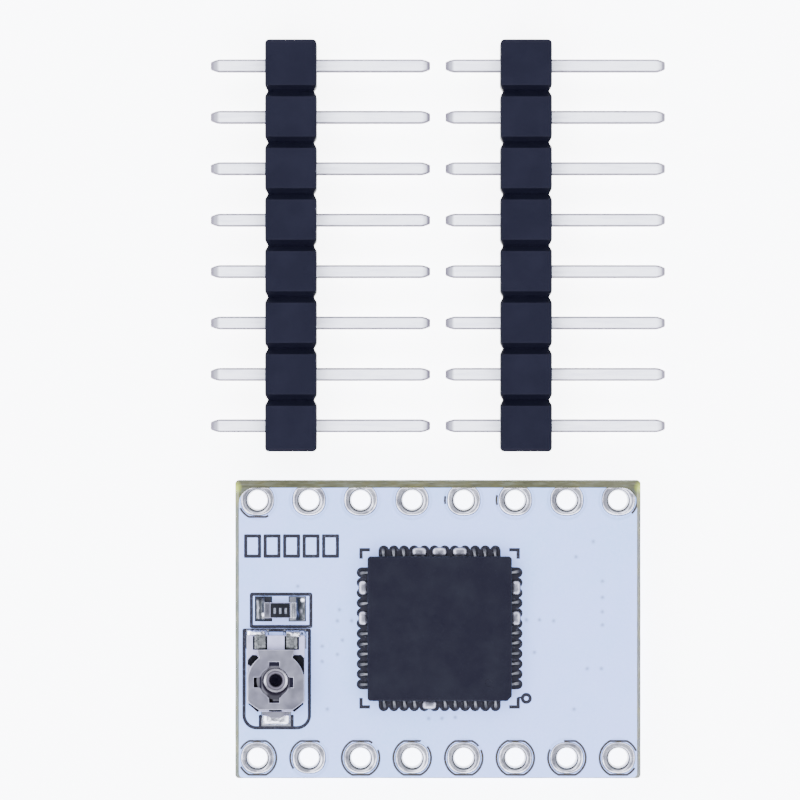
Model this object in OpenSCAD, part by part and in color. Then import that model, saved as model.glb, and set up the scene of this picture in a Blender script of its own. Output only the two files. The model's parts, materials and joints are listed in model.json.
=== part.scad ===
// Stepper driver module: a small two-sided circuit board with a leadless driver chip, a current
// trimmer and surface-mount parts on both faces, and the two loose pin headers that go with it.
// Z = 0 is the board's underside. X runs along the two rows of holes, Y points to the headers,
// and the origin is the centre of the hole pattern. All lengths are in millimetres.

/* [Board] */
// Width of the board along the hole rows
board_w = 20.0; // [19.9:0.1:22]
// Distance from the hole pattern's centre to the south edge
board_south = 7.38; // [7.3:0.02:8]
// Distance from the hole pattern's centre to the north edge
board_north = 7.33; // [7.3:0.01:8]
// Thickness of the finished board
board_t = 1.6; // [1.2:0.1:2]
// Radius of the board's corners
corner_r = 0.2; // [0.1:0.05:0.4]
// Thickness of each solder mask layer
mask_t = 0.03; // [0.02:0.01:0.04]
// Width of the sloping break line along the north edge
break_north = 0.38; // [0.2:0.02:0.4]
// Width of the break line along the east and west edges
break_side = 0.2; // [0.1:0.02:0.2]
// Width of the break line along the south edge
break_south = 0.06; // [0.04:0.01:0.2]
// Depth of the sloping break line at each face
break_depth = 0.45; // [0.3:0.05:0.55]

/* [Header holes] */
// Distance between neighbouring holes in a row
pitch = 2.54; // [2.54]
// Holes in each row
holes_per_row = 8; // [8]
// Distance between the two rows
row_gap = 12.7; // [12.7]
// Radius of the finished, plated hole
hole_r = 0.51; // [0.48:0.01:0.53]
// Thickness of the plating in the hole
plating_t = 0.04; // [0.03:0.01:0.05]
// Half length of a pad along the row
pad_r = 0.85; // [0.8:0.01:0.9]
// Half width of a pad across the row
pad_half = 0.75; // [0.65:0.01:0.75]
// Thickness of the copper and tin on both faces
pad_t = 0.045; // [0.035:0.005:0.05]

/* [Driver chip] */
// Side of the square chip
chip_w = 7.1; // [6.9:0.05:7.1]
// Height of the chip's body
chip_h = 0.85; // [0.75:0.05:0.9]
// Centre of the chip along X
chip_x = 0.08; // [-0.1:0.01:0.2]
// Centre of the chip along Y
chip_y = 0.03; // [-0.1:0.01:0.1]
// Contacts on each side
contacts_per_side = 12; // [12]
// Distance between neighbouring contacts
contact_pitch = 0.5; // [0.5]
// Width of one contact
contact_w = 0.24; // [0.2:0.01:0.26]
// How far the board's lands stand out past the chip
land_out = 0.42; // [0.3:0.02:0.5]

/* [Trimmer] */
// Trimmer axis along X
trim_x = -7.97; // [-8.05:0.01:-7.9]
// Trimmer axis along Y
trim_y = -2.5; // [-2.55:0.01:-2.45]
// Width of the ceramic base
trim_w = 2.84; // [2.7:0.02:2.9]
// Height of the ceramic base
trim_base_h = 0.55; // [0.5:0.05:0.6]
// Radius of the round part of the drive plate
plate_r = 1.39; // [1.3:0.01:1.4]
// Radius of the hub's rolled rim
rim_r = 0.6; // [0.55:0.01:0.62]
// Radius of the hole in the hub
hub_hole_r = 0.3; // [0.25:0.01:0.32]
// Radial running clearance between the hub and the moving spring
hub_play = 0.04; // [0.02:0.01:0.06]
// Width of each arm of the screwdriver cross
cross_w = 0.49; // [0.4:0.01:0.55]

/* [Surface-mount parts] */
// Centre of the top resistor along X
res_x = -7.76; // [-7.9:0.01:-7.6]
// Centre of the top resistor along Y
res_y = 0.93; // [0.9:0.01:1]
// Height of the underside capacitors, on which the board stands
cap_h = 0.85; // [0.7:0.05:0.95]
// Distance of the capacitors from the centre along X
cap_x = 7.3; // [7:0.1:7.6]
// Distance of the capacitors from the centre along Y
cap_y = 2.6; // [2.2:0.1:3]
// Distance of the current-sense resistors from the centre along Y
sense_y = 4.1; // [4:0.05:4.2]
// Distance of the small underside resistors from the centre along X
small_x = 4.6; // [4.4:0.1:4.8]
// Distance of the small underside resistors from the centre along Y
small_y = 1.5; // [1.3:0.1:1.7]

/* [Pin headers] */
// Side of the square plastic section
strip_w = 2.54; // [2.54]
// Side of the square pins
pin_w = 0.64; // [0.6:0.01:0.66]
// Length of the pins' short ends
short_end = 2.7; // [2.4:0.1:3]
// Length of the pins' long ends
long_end = 5.6; // [5.5:0.1:5.8]
// Gap between the board and the headers
header_gap = 1.4; // [1:0.1:4]
// Width of the break groove between two positions
groove_w = 0.56; // [0.4:0.02:0.6]
// Depth of the break groove
groove_d = 0.42; // [0.3:0.02:0.5]

/* [Hidden] */
$fn = 48;
SIDES = ["left", "right"];
POSITIONS = [1 : holes_per_row];
PIN_NODES = [for (side = SIDES, i = POSITIONS) str("header_", side, "_pin_", i)];
CAPACITORS = [for (i = [1 : 4]) str("capacitor_", i)];
SENSORS = ["sense_resistor_a", "sense_resistor_b"];
SMALLS = [for (i = [1 : 4]) str("small_resistor_", i)];

// Board levels and the flat area inside the break lines
core_z0 = mask_t;
core_z1 = board_t - mask_t;
pad_top = core_z1 + pad_t;
pad_bottom = core_z0 - pad_t;
ink_t = 0.015;
ink_w = 0.16;
flat_x = board_w / 2 - break_side;
flat_y0 = -board_south + break_south;
flat_y1 = board_north - break_north;
mask_gap = 0.02;
mask_corner_r = 0.75;
rows_y = [-row_gap / 2, row_gap / 2];
slack = 1;

// Printed rings around the holes, as [start, end] angles for each hole, west to east. Solder has
// run over the ink where a ring is open.
ring_r = 0.98;
ring_half = 0.88;
ring_w = 0.1;
SOUTH_RINGS = [
    [-152, 152], [55, 215], [52, 385], [63, 397], [39, 385], [0, 360], [153, 460], [22, 328]
];
NORTH_RINGS = [[205, 305], [0, 0], [0, 0], [0, 0], [168, 192], [165, 195], [0, 0], [-45, 15]];

// Chip
chip_z = board_t + 0.05;
contact_l = 0.4;
contact_t = 0.2;
land_in = 0.42;
loop_r = 0.26;
loop_out = 0.54;
die_pad_w = 5.2;
die_pad_t = 0.2;
die_size = [3.4, 3.0, 0.3];
wire_r = 0.0125;
dimple_at = [2.43, -2.66];
dimple_r = 0.2;
dimple_d = 0.04;
pin_one_cut = 0.25;
bracket_at = 3.95;
bracket_arm = 0.52;
pin_one_ring_at = [4.27, -3.45];
pin_one_ring_r = 0.27;

// Printed frames, each as its west, east, south and north side
TRIMMER_FRAME = [-9.63, -6.25, -4.95, 0.02];
RESISTOR_FRAME = [-9.27, -6.18, 0.035, 1.79];
DATE_BOX = [-9.55, -8.71, 3.5, 4.66];
DATE_BOXES = 5;
date_box_step = 0.96;
frame_tick_x = [-8.76, -7.17];
frame_tick_w = 0.13;

// Trimmer, measured from its own axis
trim_z = board_t + 0.05;
trim_north = 2.2;
trim_south = 1.55;
trim_chamfer = 0.45;
trim_top = trim_z + trim_base_h;
track_t = 0.015;
track_in = 0.8;
track_out = 1.73;
track_inset = 0.04;
track_north = 1.2;
track_leg = [0.68, 0.34];
terminal_w = 0.62;
terminal_l = 0.65;
terminal_t = 0.06;
terminal_x = 0.78;
terminal_land_w = 1.1;
terminal_land_x = 0.925;
terminal_land_past = 0.27;
foot_t = 0.03;
strap_w = 0.8;
wiper_foot_w = 1.44;
wiper_foot_l = 0.62;
wiper_foot_t = 0.1;
hub_r = 0.36;
spring_z = trim_top + 0.1;
spring_t = 0.06;
spring_r = 0.95;
finger_w = 0.3;
finger_out = 1.15;
plate_z = spring_z + spring_t;
plate_t = 0.14;
plate_neck_w = 1.86;
plate_neck_y = 1.51;
plate_neck_in = 0.08;
plate_neck_root = [0.6, 0.8];
plate_skirt_x = 1.36;
plate_skirt_top = 0.2;
plate_skirt_y = 1.1;
plate_low_x = 0.85;
plate_low_y = 1.45;
opening_r = 0.77;
cross_at = [-0.08, -0.1];
cross_half = 1.0;
cross_flare = [0.58, 0.48];
rim_z = plate_z + 0.02;
rim_h = 0.2;

// Two-terminal parts: length, width and height of each kind, and the length of their metal ends
CHIP_0603 = [1.6, 0.8, 0.45];
CAP_0805 = [2.0, 1.25, cap_h];
SENSE_1206 = [3.2, 1.6, 0.6];
cap_wall = 0.03;
end_0603 = 0.3;
end_0805 = 0.45;
end_1206 = 0.5;
coat_size = [0.96, 0.72, 0.03];
seat_top = pad_top + 0.015;
seat_bottom = pad_bottom - 0.015;
land_past = 0.42;
land_under = 0.35;
fillet_out = land_past - 0.04;
res_land_w = 1.15;
res_land_shift = 0.06;
floor_z = seat_bottom - cap_h;

// Headers
pin_l = short_end + strip_w + long_end;
header_x = [-11.22, 0.38];
header_y = board_north + header_gap;
pin_z = floor_z + strip_w / 2;
tip_l = 0.4;
tip_w = 0.3;

// ---- Shared shapes ----

// A rectangle with its south corners and its north corners rounded by their own radii
module rounded_2d(x0, x1, y0, y1, r_south, r_north) {
    middle = (y0 + y1) / 2;
    for (half = [[y0, 1, r_south], [y1, -1, r_north]])
        translate([0, half[0]])
            scale([1, half[1]]) {
                translate([x0, half[2]]) square([x1 - x0, abs(middle - half[0]) - half[2]]);
                translate([x0 + half[2], 0]) square([x1 - x0 - 2 * half[2], half[2] + 0.001]);
                for (x = [x0 + half[2], x1 - half[2]])
                    translate([x, half[2]]) circle(half[2]);
            }
}

// A rounded frame of constant line width, measured at its outer edge
module frame_2d(sides, line, r_south, r_north) {
    difference() {
        rounded_2d(sides[0], sides[1], sides[2], sides[3], r_south, r_north);
        rounded_2d(sides[0] + line, sides[1] - line, sides[2] + line, sides[3] - line,
                   max(r_south - line, 0.02), max(r_north - line, 0.02));
    }
}

// A round-ended printed line
module stroke_2d(from, to, line) {
    run = to - from;
    translate(from)
        rotate(atan2(run.y, run.x)) {
            translate([0, -line / 2]) square([norm(run), line]);
            circle(d = line);
            translate([norm(run), 0]) circle(d = line);
        }
}

// A pie slice between two angles
module sector_2d(a, b, r) {
    steps = 12;
    turns = [for (k = [0 : steps]) a + (b - a) * k / steps];
    polygon(concat([[0, 0]], [for (t = turns) r * [cos(t), sin(t)]]));
}

// A round pad with flats north and south
module pad_2d(r, half) {
    intersection() {
        circle(r);
        square([2 * r + 1, 2 * half], center = true);
    }
}

// A straight round rod between two points
module rod(from, to, r) {
    run = to - from;
    translate(from)
        rotate([0, acos(run.z / norm(run)), atan2(run.y, run.x)])
            cylinder(h = norm(run), r = r, $fn = 16);
}

module slab(z0, z1) {
    translate([0, 0, z0]) linear_extrude(z1 - z0) children();
}

module at_holes() {
    for (y = rows_y, i = POSITIONS)
        translate([(i - (holes_per_row + 1) / 2) * pitch, y]) children();
}

// Children are placed at the middle of each contact's outer face, with +X pointing away from the chip
module at_contacts() {
    translate([chip_x, chip_y])
        for (side = [0 : 3], i = [1 : contacts_per_side])
            rotate(90 * side)
                translate([chip_w / 2, (i - (contacts_per_side + 1) / 2) * contact_pitch])
                    children();
}

module at_trimmer() {
    translate([trim_x, trim_y, 0]) children();
}

// ---- Two-terminal parts, standing on z = 0 with their length along X ----

module part_core(size, end) {
    inner = size - 2 * cap_wall * [1, 1, 1];
    translate([0, 0, size.z / 2]) {
        cube(inner, center = true);
        cube([size.x - 2 * end, size.y, size.z], center = true);
    }
}

module part_end(size, end) {
    inner = size - 2 * cap_wall * [1, 1, 1];
    difference() {
        translate([size.x / 2 - end, -size.y / 2, 0]) cube([end, size.y, size.z]);
        translate([0, 0, size.z / 2]) cube([inner.x, inner.y, inner.z], center = true);
    }
}

module both_ends() {
    children();
    mirror([1, 0, 0]) children();
}

// Solder wedge from the end of a part down to the end of its land
module part_fillet(size, width) {
    rise = size.z * 0.7;
    land_z = seat_top - pad_top;
    translate([size.x / 2, width / 2, -land_z])
        rotate([90, 0, 0])
            linear_extrude(width)
                polygon([
                    [0, 0], [fillet_out, 0], [fillet_out, 0.02], [0.12, rise * 0.45], [0, rise]
                ]);
}

module part_lands_2d(size, width) {
    both_ends()
        translate([size.x / 2 - land_under, -width / 2])
            square([land_under + land_past, width]);
}

module top_resistor_lands_2d() {
    translate([res_x, res_y + res_land_shift]) part_lands_2d(CHIP_0603, res_land_w);
}

module at_top_resistor() {
    translate([res_x, res_y, 0]) children();
}

// Underside places: children are flipped so that their own +Z points down from the board
module under(x, y, turn) {
    translate([x, y, seat_bottom]) rotate([180, 0, turn]) children();
}

module under_2d(x, y, turn) {
    translate([x, y]) rotate(turn) children();
}

CAP_PLACES = [for (y = [cap_y, -cap_y], x = [-cap_x, cap_x]) [x, y, 0]];
SENSE_PLACES = [[0, sense_y, 0], [0, -sense_y, 0]];
SMALL_PLACES = [for (y = [small_y, -small_y], x = [-small_x, small_x]) [x, y, 90]];

// Children 0, 1 and 2 are placed at every capacitor, sense resistor and small resistor
module at_underside() {
    for (p = CAP_PLACES) under(p[0], p[1], p[2]) children(0);
    for (p = SENSE_PLACES) under(p[0], p[1], p[2]) children(1);
    for (p = SMALL_PLACES) under(p[0], p[1], p[2]) children(2);
}

module underside_lands_2d() {
    for (p = CAP_PLACES) under_2d(p[0], p[1], p[2]) part_lands_2d(CAP_0805, 1.1 * CAP_0805.y);
    for (p = SENSE_PLACES) under_2d(p[0], p[1], p[2]) part_lands_2d(SENSE_1206, 1.1 * SENSE_1206.y);
    for (p = SMALL_PLACES) under_2d(p[0], p[1], p[2]) part_lands_2d(CHIP_0603, 1.1 * CHIP_0603.y);
    translate([chip_x, chip_y]) square(die_pad_w, center = true);
}

// ---- Board ----

function break_section(a, b, slope_a, slope_b) = [
    [a + slope_a, core_z0], [b - slope_b, core_z0],
    [b, break_depth], [b, board_t - break_depth],
    [b - slope_b, core_z1], [a + slope_a, core_z1],
    [a, board_t - break_depth], [a, break_depth]
];

module board_laminate() {
    color("darkkhaki")
        difference() {
            intersection() {
                rotate([90, 0, 90])
                    linear_extrude(2 * board_w, center = true)
                        polygon(break_section(-board_south, board_north, break_south, break_north));
                rotate([90, 0, 0])
                    linear_extrude(4 * board_south, center = true)
                        polygon(break_section(-board_w / 2, board_w / 2, break_side, break_side));
                slab(0, board_t)
                    rounded_2d(-board_w / 2, board_w / 2, -board_south, board_north, corner_r, corner_r);
            }
            translate([0, 0, -slack])
                at_holes() cylinder(h = board_t + 2 * slack, r = hole_r + plating_t);
        }
}

module mask_outline_2d() {
    rounded_2d(-flat_x, flat_x, flat_y0, flat_y1, corner_r, mask_corner_r);
}

module trimmer_lands_2d() {
    for (s = [-1, 1])
        translate([s * terminal_land_x - terminal_land_w / 2, trim_north - 0.65])
            square([terminal_land_w, 0.65 + terminal_land_past]);
    translate([-wiper_foot_w / 2, -trim_south - wiper_foot_l - 0.12]) square([wiper_foot_w, 0.9]);
}

// Opening of the mask round one contact's land, round at its outer end
module contact_loop_2d() {
    translate([-land_in - 0.05, -loop_r]) square([land_in + 0.05 + loop_out - loop_r, 2 * loop_r]);
    translate([loop_out - loop_r, 0]) circle(loop_r);
}

module solder_mask_top() {
    color("ghostwhite")
        slab(core_z1, board_t)
            difference() {
                mask_outline_2d();
                at_holes() pad_2d(pad_r + mask_gap, pad_half + mask_gap);
                at_contacts() contact_loop_2d();
                translate([chip_x, chip_y]) square(die_pad_w + 2 * mask_gap, center = true);
                top_resistor_lands_2d();
                translate([trim_x, trim_y]) trimmer_lands_2d();
            }
}

module solder_mask_bottom() {
    color("ghostwhite")
        slab(0, core_z0)
            difference() {
                mask_outline_2d();
                at_holes() pad_2d(pad_r + mask_gap, pad_half + mask_gap);
                underside_lands_2d();
            }
}

// One eyelet per hole: the plated wall with its pad on each face
module board_eyelets() {
    color("silver")
        difference() {
            intersection() {
                union() {
                    at_holes() {
                        slab(pad_bottom, pad_top) circle(hole_r + plating_t);
                        slab(pad_bottom, core_z0) pad_2d(pad_r, pad_half);
                        slab(core_z1, pad_top) pad_2d(pad_r, pad_half);
                    }
                }
                slab(-slack, board_t + slack) mask_outline_2d();
            }
            translate([0, 0, -slack])
                at_holes() cylinder(h = board_t + 2 * slack, r = hole_r);
        }
}

module copper_lands_top() {
    color("gainsboro")
        slab(core_z1, pad_top) {
            at_contacts()
                translate([-land_in, -contact_w / 2]) square([land_in + land_out, contact_w]);
            translate([chip_x, chip_y]) square(die_pad_w, center = true);
            top_resistor_lands_2d();
            translate([trim_x, trim_y]) trimmer_lands_2d();
        }
}

module copper_lands_bottom() {
    color("gainsboro")
        slab(pad_bottom, core_z0) underside_lands_2d();
}

// ---- Printed legend ----

module hole_ring_2d(span) {
    intersection() {
        difference() {
            pad_2d(ring_r, ring_half);
            pad_2d(ring_r - ring_w, ring_half - ring_w);
        }
        sector_2d(span[0], span[1], 2);
    }
}

module hole_rings_2d() {
    for (row = [[rows_y[0], SOUTH_RINGS], [rows_y[1], NORTH_RINGS]], i = POSITIONS)
        if (row[1][i - 1][1] > row[1][i - 1][0])
            translate([(i - (holes_per_row + 1) / 2) * pitch, row[0]]) hole_ring_2d(row[1][i - 1]);
}

module chip_brackets_2d() {
    for (turn = [0 : 90 : 270])
        rotate(turn)
            translate([bracket_at, bracket_at]) {
                translate([-bracket_arm, -ink_w]) square([bracket_arm, ink_w]);
                translate([-ink_w, -bracket_arm]) square([ink_w, bracket_arm]);
            }
    translate(pin_one_ring_at)
        difference() {
            circle(pin_one_ring_r);
            circle(pin_one_ring_r - ink_w);
        }
    stroke_2d([bracket_at - ink_w / 2, -bracket_at + bracket_arm],
              pin_one_ring_at + [-0.2, 0.06], 0.09);
}

module trimmer_frame_2d() {
    frame_2d(TRIMMER_FRAME, ink_w, 0.7, 0.1);
    for (x = frame_tick_x)
        stroke_2d([x, TRIMMER_FRAME[2] + ink_w / 2], [x, TRIMMER_FRAME[2] + 0.66], frame_tick_w);
}

// Empty boxes for a date
module date_boxes_2d() {
    for (k = [0 : DATE_BOXES - 1])
        translate([k * date_box_step, 0]) frame_2d(DATE_BOX, ink_w, 0.05, 0.05);
}

module legend_print() {
    color("midnightblue")
        slab(board_t, board_t + ink_t)
            difference() {
                intersection() {
                    union() {
                        hole_rings_2d();
                        translate([chip_x, chip_y]) chip_brackets_2d();
                        trimmer_frame_2d();
                        frame_2d(RESISTOR_FRAME, ink_w, 0.12, 0.12);
                        date_boxes_2d();
                    }
                    mask_outline_2d();
                }
                translate([trim_x, trim_y]) trimmer_lands_2d();
            }
}

// ---- Driver chip ----

module chip_contact_shapes() {
    at_contacts()
        translate([-contact_l, -contact_w / 2, chip_z]) cube([contact_l, contact_w, contact_t]);
}

module chip_contacts() {
    color("silver") chip_contact_shapes();
}

module die_pad_shape() {
    translate([chip_x, chip_y])
        slab(chip_z, chip_z + die_pad_t) square(die_pad_w, center = true);
}

module chip_die_pad() {
    color("peru") die_pad_shape();
}

module die_shape() {
    translate([chip_x, chip_y, chip_z + die_pad_t + die_size.z / 2]) cube(die_size, center = true);
}

module chip_die() {
    color("slategray") die_shape();
}

// One wire from the die's rim to each contact, straight and sloping down
module chip_bond_wires() {
    die_top = chip_z + die_pad_t + die_size.z;
    rim = [die_size.x / 2 - 0.1, die_size.y / 2 - 0.1];
    color("gold")
        translate([chip_x, chip_y, 0])
            for (side = [0 : 3], i = [1 : contacts_per_side])
                rotate(90 * side) {
                    spread = (i - (contacts_per_side + 1) / 2);
                    along = side % 2 == 0 ? rim.y : rim.x;
                    out = side % 2 == 0 ? rim.x : rim.y;
                    rod([out, spread * 2 * along / contacts_per_side, die_top],
                        [chip_w / 2 - contact_l / 2, spread * contact_pitch, chip_z + contact_t],
                        wire_r);
                }
}

module chip_outline_2d() {
    half = chip_w / 2;
    polygon([
        [-half, -half], [half - pin_one_cut, -half], [half, pin_one_cut - half], [half, half],
        [-half, half]
    ]);
}

module chip_body() {
    color("darkslategray")
        difference() {
            translate([chip_x, chip_y, chip_z]) linear_extrude(chip_h) chip_outline_2d();
            chip_contact_shapes();
            die_pad_shape();
            die_shape();
            chip_bond_wires();
            translate([chip_x + dimple_at.x, chip_y + dimple_at.y, chip_z + chip_h - dimple_d])
                cylinder(h = dimple_d + slack, r = dimple_r);
        }
}

// Solder under each contact with a wedge in front of it, and under the heat pad
module chip_solder() {
    wedge = [
        [-contact_l, pad_top], [land_out - 0.04, pad_top], [land_out - 0.04, pad_top + 0.03],
        [0.14, pad_top + 0.1], [0, chip_z + 0.16], [0, chip_z], [-contact_l, chip_z]
    ];
    color("lightgray") {
        at_contacts()
            translate([0, contact_w / 2, 0])
                rotate([90, 0, 0]) linear_extrude(contact_w) polygon(wedge);
        translate([chip_x, chip_y])
            slab(pad_top, chip_z) square(die_pad_w - 0.2, center = true);
    }
}

// ---- Trimmer ----

// Plan of the ceramic, or of a layer that stays an inset inside it and ends at its own north edge
module trimmer_outline_2d(inset, north) {
    half = trim_w / 2 - inset;
    south = inset - trim_south;
    polygon([
        [-half, south + trim_chamfer], [trim_chamfer - half, south],
        [half - trim_chamfer, south], [half, south + trim_chamfer],
        [half, north], [-half, north]
    ]);
}

module trimmer_base() {
    color("gainsboro")
        at_trimmer()
            difference() {
                slab(trim_z, trim_top) trimmer_outline_2d(0, trim_north);
                translate([0, 0, trim_z - slack])
                    cylinder(h = trim_base_h + 2 * slack, r = hub_r + hub_play);
            }
}

// The resistive film: a broad arc under the plate, that shows at its shoulders and at the south
// chamfers, with a leg up to each end terminal
module trimmer_track() {
    color("dimgray")
        at_trimmer()
            slab(trim_top, trim_top + track_t) {
                intersection() {
                    difference() {
                        circle(track_out);
                        circle(track_in);
                        sector_2d(60, 120, 3);
                    }
                    trimmer_outline_2d(track_inset, track_north);
                }
                for (s = [-1, 1])
                    translate([s * track_leg[0] - track_leg[1] / 2, 0.95])
                        square([track_leg[1], trim_north - terminal_l - 0.95]);
            }
}

// A metal clip round the ceramic's north edge
module end_terminal(side) {
    under_z = trim_z - foot_t;
    over_z = trim_top + terminal_t;
    color("silver")
        at_trimmer()
            translate([side * terminal_x - terminal_w / 2, trim_north, 0])
                rotate([90, 0, 90])
                    linear_extrude(terminal_w)
                        polygon([
                            [terminal_t, under_z], [terminal_t, over_z],
                            [-terminal_l, over_z], [-terminal_l, trim_top],
                            [0, trim_top], [0, trim_z], [-0.5, trim_z], [-0.5, under_z]
                        ]);
}

module trimmer_terminal_left() {
    end_terminal(-1);
}

module trimmer_terminal_right() {
    end_terminal(1);
}

// Strap under the base, foot at the south edge, and the riveted hub that holds the spring down
module trimmer_wiper_terminal() {
    strap_z = trim_z - foot_t;
    foot_y = -trim_south - wiper_foot_l;
    color("silver")
        at_trimmer()
            difference() {
                union() {
                    translate([-strap_w / 2, -trim_south, strap_z])
                        cube([strap_w, trim_south + hub_r, foot_t]);
                    translate([-wiper_foot_w / 2, foot_y, strap_z])
                        cube([wiper_foot_w, wiper_foot_l, wiper_foot_t]);
                    translate([0, 0, strap_z]) cylinder(h = rim_z + rim_h - strap_z, r = hub_r);
                    translate([0, 0, rim_z]) cylinder(h = rim_h, r = rim_r);
                }
                translate([0, 0, trim_z]) cylinder(h = rim_z + rim_h - trim_z + slack, r = hub_hole_r);
                translate([-0.3, -trim_south - 0.11, strap_z - slack]) cube([0.6, 0.09, 2 * slack]);
            }
}

// Spring disc with the contact finger that rides just on the film
module trimmer_wiper_spring() {
    finger_z = trim_top + track_t + 0.01;
    color("goldenrod")
        at_trimmer() {
            difference() {
                union() {
                    translate([0, 0, spring_z]) cylinder(h = spring_t, r = spring_r);
                    translate([-finger_w / 2, -finger_out, spring_z])
                        cube([finger_w, finger_out, spring_t]);
                }
                translate([0, 0, spring_z - slack]) cylinder(h = 2 * slack, r = hub_r + hub_play);
            }
            translate([-finger_w / 2, -finger_out, finger_z])
                cube([finger_w, 0.2, spring_z - finger_z]);
        }
}

// The plate's neck and its straight skirt: the east side's corners, and the same ones mirrored
module plate_neck_and_skirt_2d() {
    neck_x = plate_neck_w / 2;
    east = [
        [neck_x, plate_neck_y], [neck_x - plate_neck_in, plate_neck_y - 0.3], plate_neck_root,
        [plate_skirt_x, plate_skirt_top], [plate_skirt_x, -plate_skirt_y], [plate_low_x, -plate_low_y]
    ];
    polygon(concat(east, [for (k = [len(east) - 1 : -1 : 0]) [-east[k].x, east[k].y]]));
}

module screwdriver_cross_2d() {
    circle(opening_r);
    for (turn = [0, 90])
        rotate(turn) square([2 * cross_half, cross_w], center = true);
    polygon([[0, 0], [cross_flare.x, -cross_flare.y], [cross_w / 2, -opening_r - 0.1],
             [-cross_w / 2, -opening_r - 0.1], [-cross_flare.x, -cross_flare.y]]);
}

module trimmer_drive_plate() {
    color("lightslategray")
        at_trimmer()
            difference() {
                union() {
                    translate([0, 0, plate_z]) cylinder(h = plate_t, r = plate_r);
                    slab(plate_z, plate_z + plate_t) plate_neck_and_skirt_2d();
                }
                translate(cross_at) slab(plate_z - slack, plate_z + slack) screwdriver_cross_2d();
            }
}

module trimmer_solder() {
    foot_y = -trim_south - wiper_foot_l;
    color("lightgray")
        at_trimmer() {
            for (s = [-1, 1])
                translate([s * terminal_land_x - terminal_land_w / 2, trim_north + terminal_t, pad_top])
                    cube([terminal_land_w, terminal_land_past - terminal_t, 0.4]);
            translate([-wiper_foot_w / 2, foot_y - 0.1, pad_top]) cube([wiper_foot_w, 0.1, 0.08]);
        }
}

// ---- Top resistor ----

module coat_shape() {
    translate([0, 0, CHIP_0603.z]) linear_extrude(coat_size.z)
        square([coat_size.x, coat_size.y], center = true);
}

module resistor_core() {
    color("white") at_top_resistor() translate([0, 0, seat_top]) part_core(CHIP_0603, end_0603);
}

module resistor_coat() {
    color("black") at_top_resistor() translate([0, 0, seat_top]) coat_shape();
}

module resistor_cap_left() {
    color("silver")
        at_top_resistor() translate([0, 0, seat_top]) mirror([1, 0, 0]) part_end(CHIP_0603, end_0603);
}

module resistor_cap_right() {
    color("silver") at_top_resistor() translate([0, 0, seat_top]) part_end(CHIP_0603, end_0603);
}

module resistor_solder() {
    color("lightgray")
        at_top_resistor()
            translate([0, res_land_shift, seat_top]) both_ends() part_fillet(CHIP_0603, res_land_w);
}

// ---- Underside parts ----

module underside_core(place, size, end, tint) {
    color(tint) under(place[0], place[1], place[2]) part_core(size, end);
}

module underside_end_caps() {
    color("silver")
        at_underside() {
            both_ends() part_end(CAP_0805, end_0805);
            both_ends() part_end(SENSE_1206, end_1206);
            both_ends() part_end(CHIP_0603, end_0603);
        }
}

module underside_solder() {
    color("lightgray")
        at_underside() {
            both_ends() part_fillet(CAP_0805, 0.92 * CAP_0805.y);
            both_ends() part_fillet(SENSE_1206, 0.92 * SENSE_1206.y);
            both_ends() part_fillet(CHIP_0603, 0.92 * CHIP_0603.y);
        }
}

// ---- Pin headers ----

// Outline of one position seen along the pins, with the half grooves on both sides
module position_2d() {
    half = strip_w / 2;
    cut = groove_w / 2;
    polygon([
        [-half, groove_d - half], [cut - half, -half], [half - cut, -half], [half, groove_d - half],
        [half, half - groove_d], [half - cut, half], [cut - half, half], [-half, half - groove_d]
    ]);
}

module header_strip(side) {
    color("black")
        translate([header_x[side] + short_end, header_y, pin_z])
            rotate([90, 0, 90])
                linear_extrude(strip_w)
                    for (i = POSITIONS)
                        translate([(i - 0.5) * pitch, 0])
                            difference() {
                                position_2d();
                                square(pin_w, center = true);
                            }
}

function pin_profile() = [
    [0, -tip_w / 2], [tip_l, -pin_w / 2], [pin_l - tip_l, -pin_w / 2], [pin_l, -tip_w / 2],
    [pin_l, tip_w / 2], [pin_l - tip_l, pin_w / 2], [tip_l, pin_w / 2], [0, tip_w / 2]
];

// A square pin with four slopes at each tip
module header_pin(side, i) {
    color("whitesmoke")
        translate([header_x[side], header_y + (i - 0.5) * pitch, pin_z])
            intersection() {
                linear_extrude(pin_w, center = true) polygon(pin_profile());
                rotate([90, 0, 0]) linear_extrude(pin_w, center = true) polygon(pin_profile());
            }
}

// ---- Nodes ----

board_laminate();
solder_mask_top();
solder_mask_bottom();
board_eyelets();
copper_lands_top();
copper_lands_bottom();
legend_print();
chip_body();
chip_contacts();
chip_die_pad();
chip_die();
chip_bond_wires();
chip_solder();
trimmer_base();
trimmer_track();
trimmer_terminal_left();
trimmer_terminal_right();
trimmer_wiper_terminal();
trimmer_wiper_spring();
trimmer_drive_plate();
trimmer_solder();
resistor_core();
resistor_coat();
resistor_cap_left();
resistor_cap_right();
resistor_solder();
for (k = [0 : 3])
    underside_core(CAP_PLACES[k], CAP_0805, end_0805, "tan");
for (k = [0 : 1])
    underside_core(SENSE_PLACES[k], SENSE_1206, end_1206, "black");
for (k = [0 : 3])
    underside_core(SMALL_PLACES[k], CHIP_0603, end_0603, "black");
underside_end_caps();
underside_solder();
header_strip(0);  // header_left_strip
header_strip(1);  // header_right_strip
for (side = [0, 1], i = POSITIONS)
    header_pin(side, i);
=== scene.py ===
import json
import math

import bmesh
import bpy
import numpy as np
from mathutils import Matrix, Vector, geometry, noise


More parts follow.
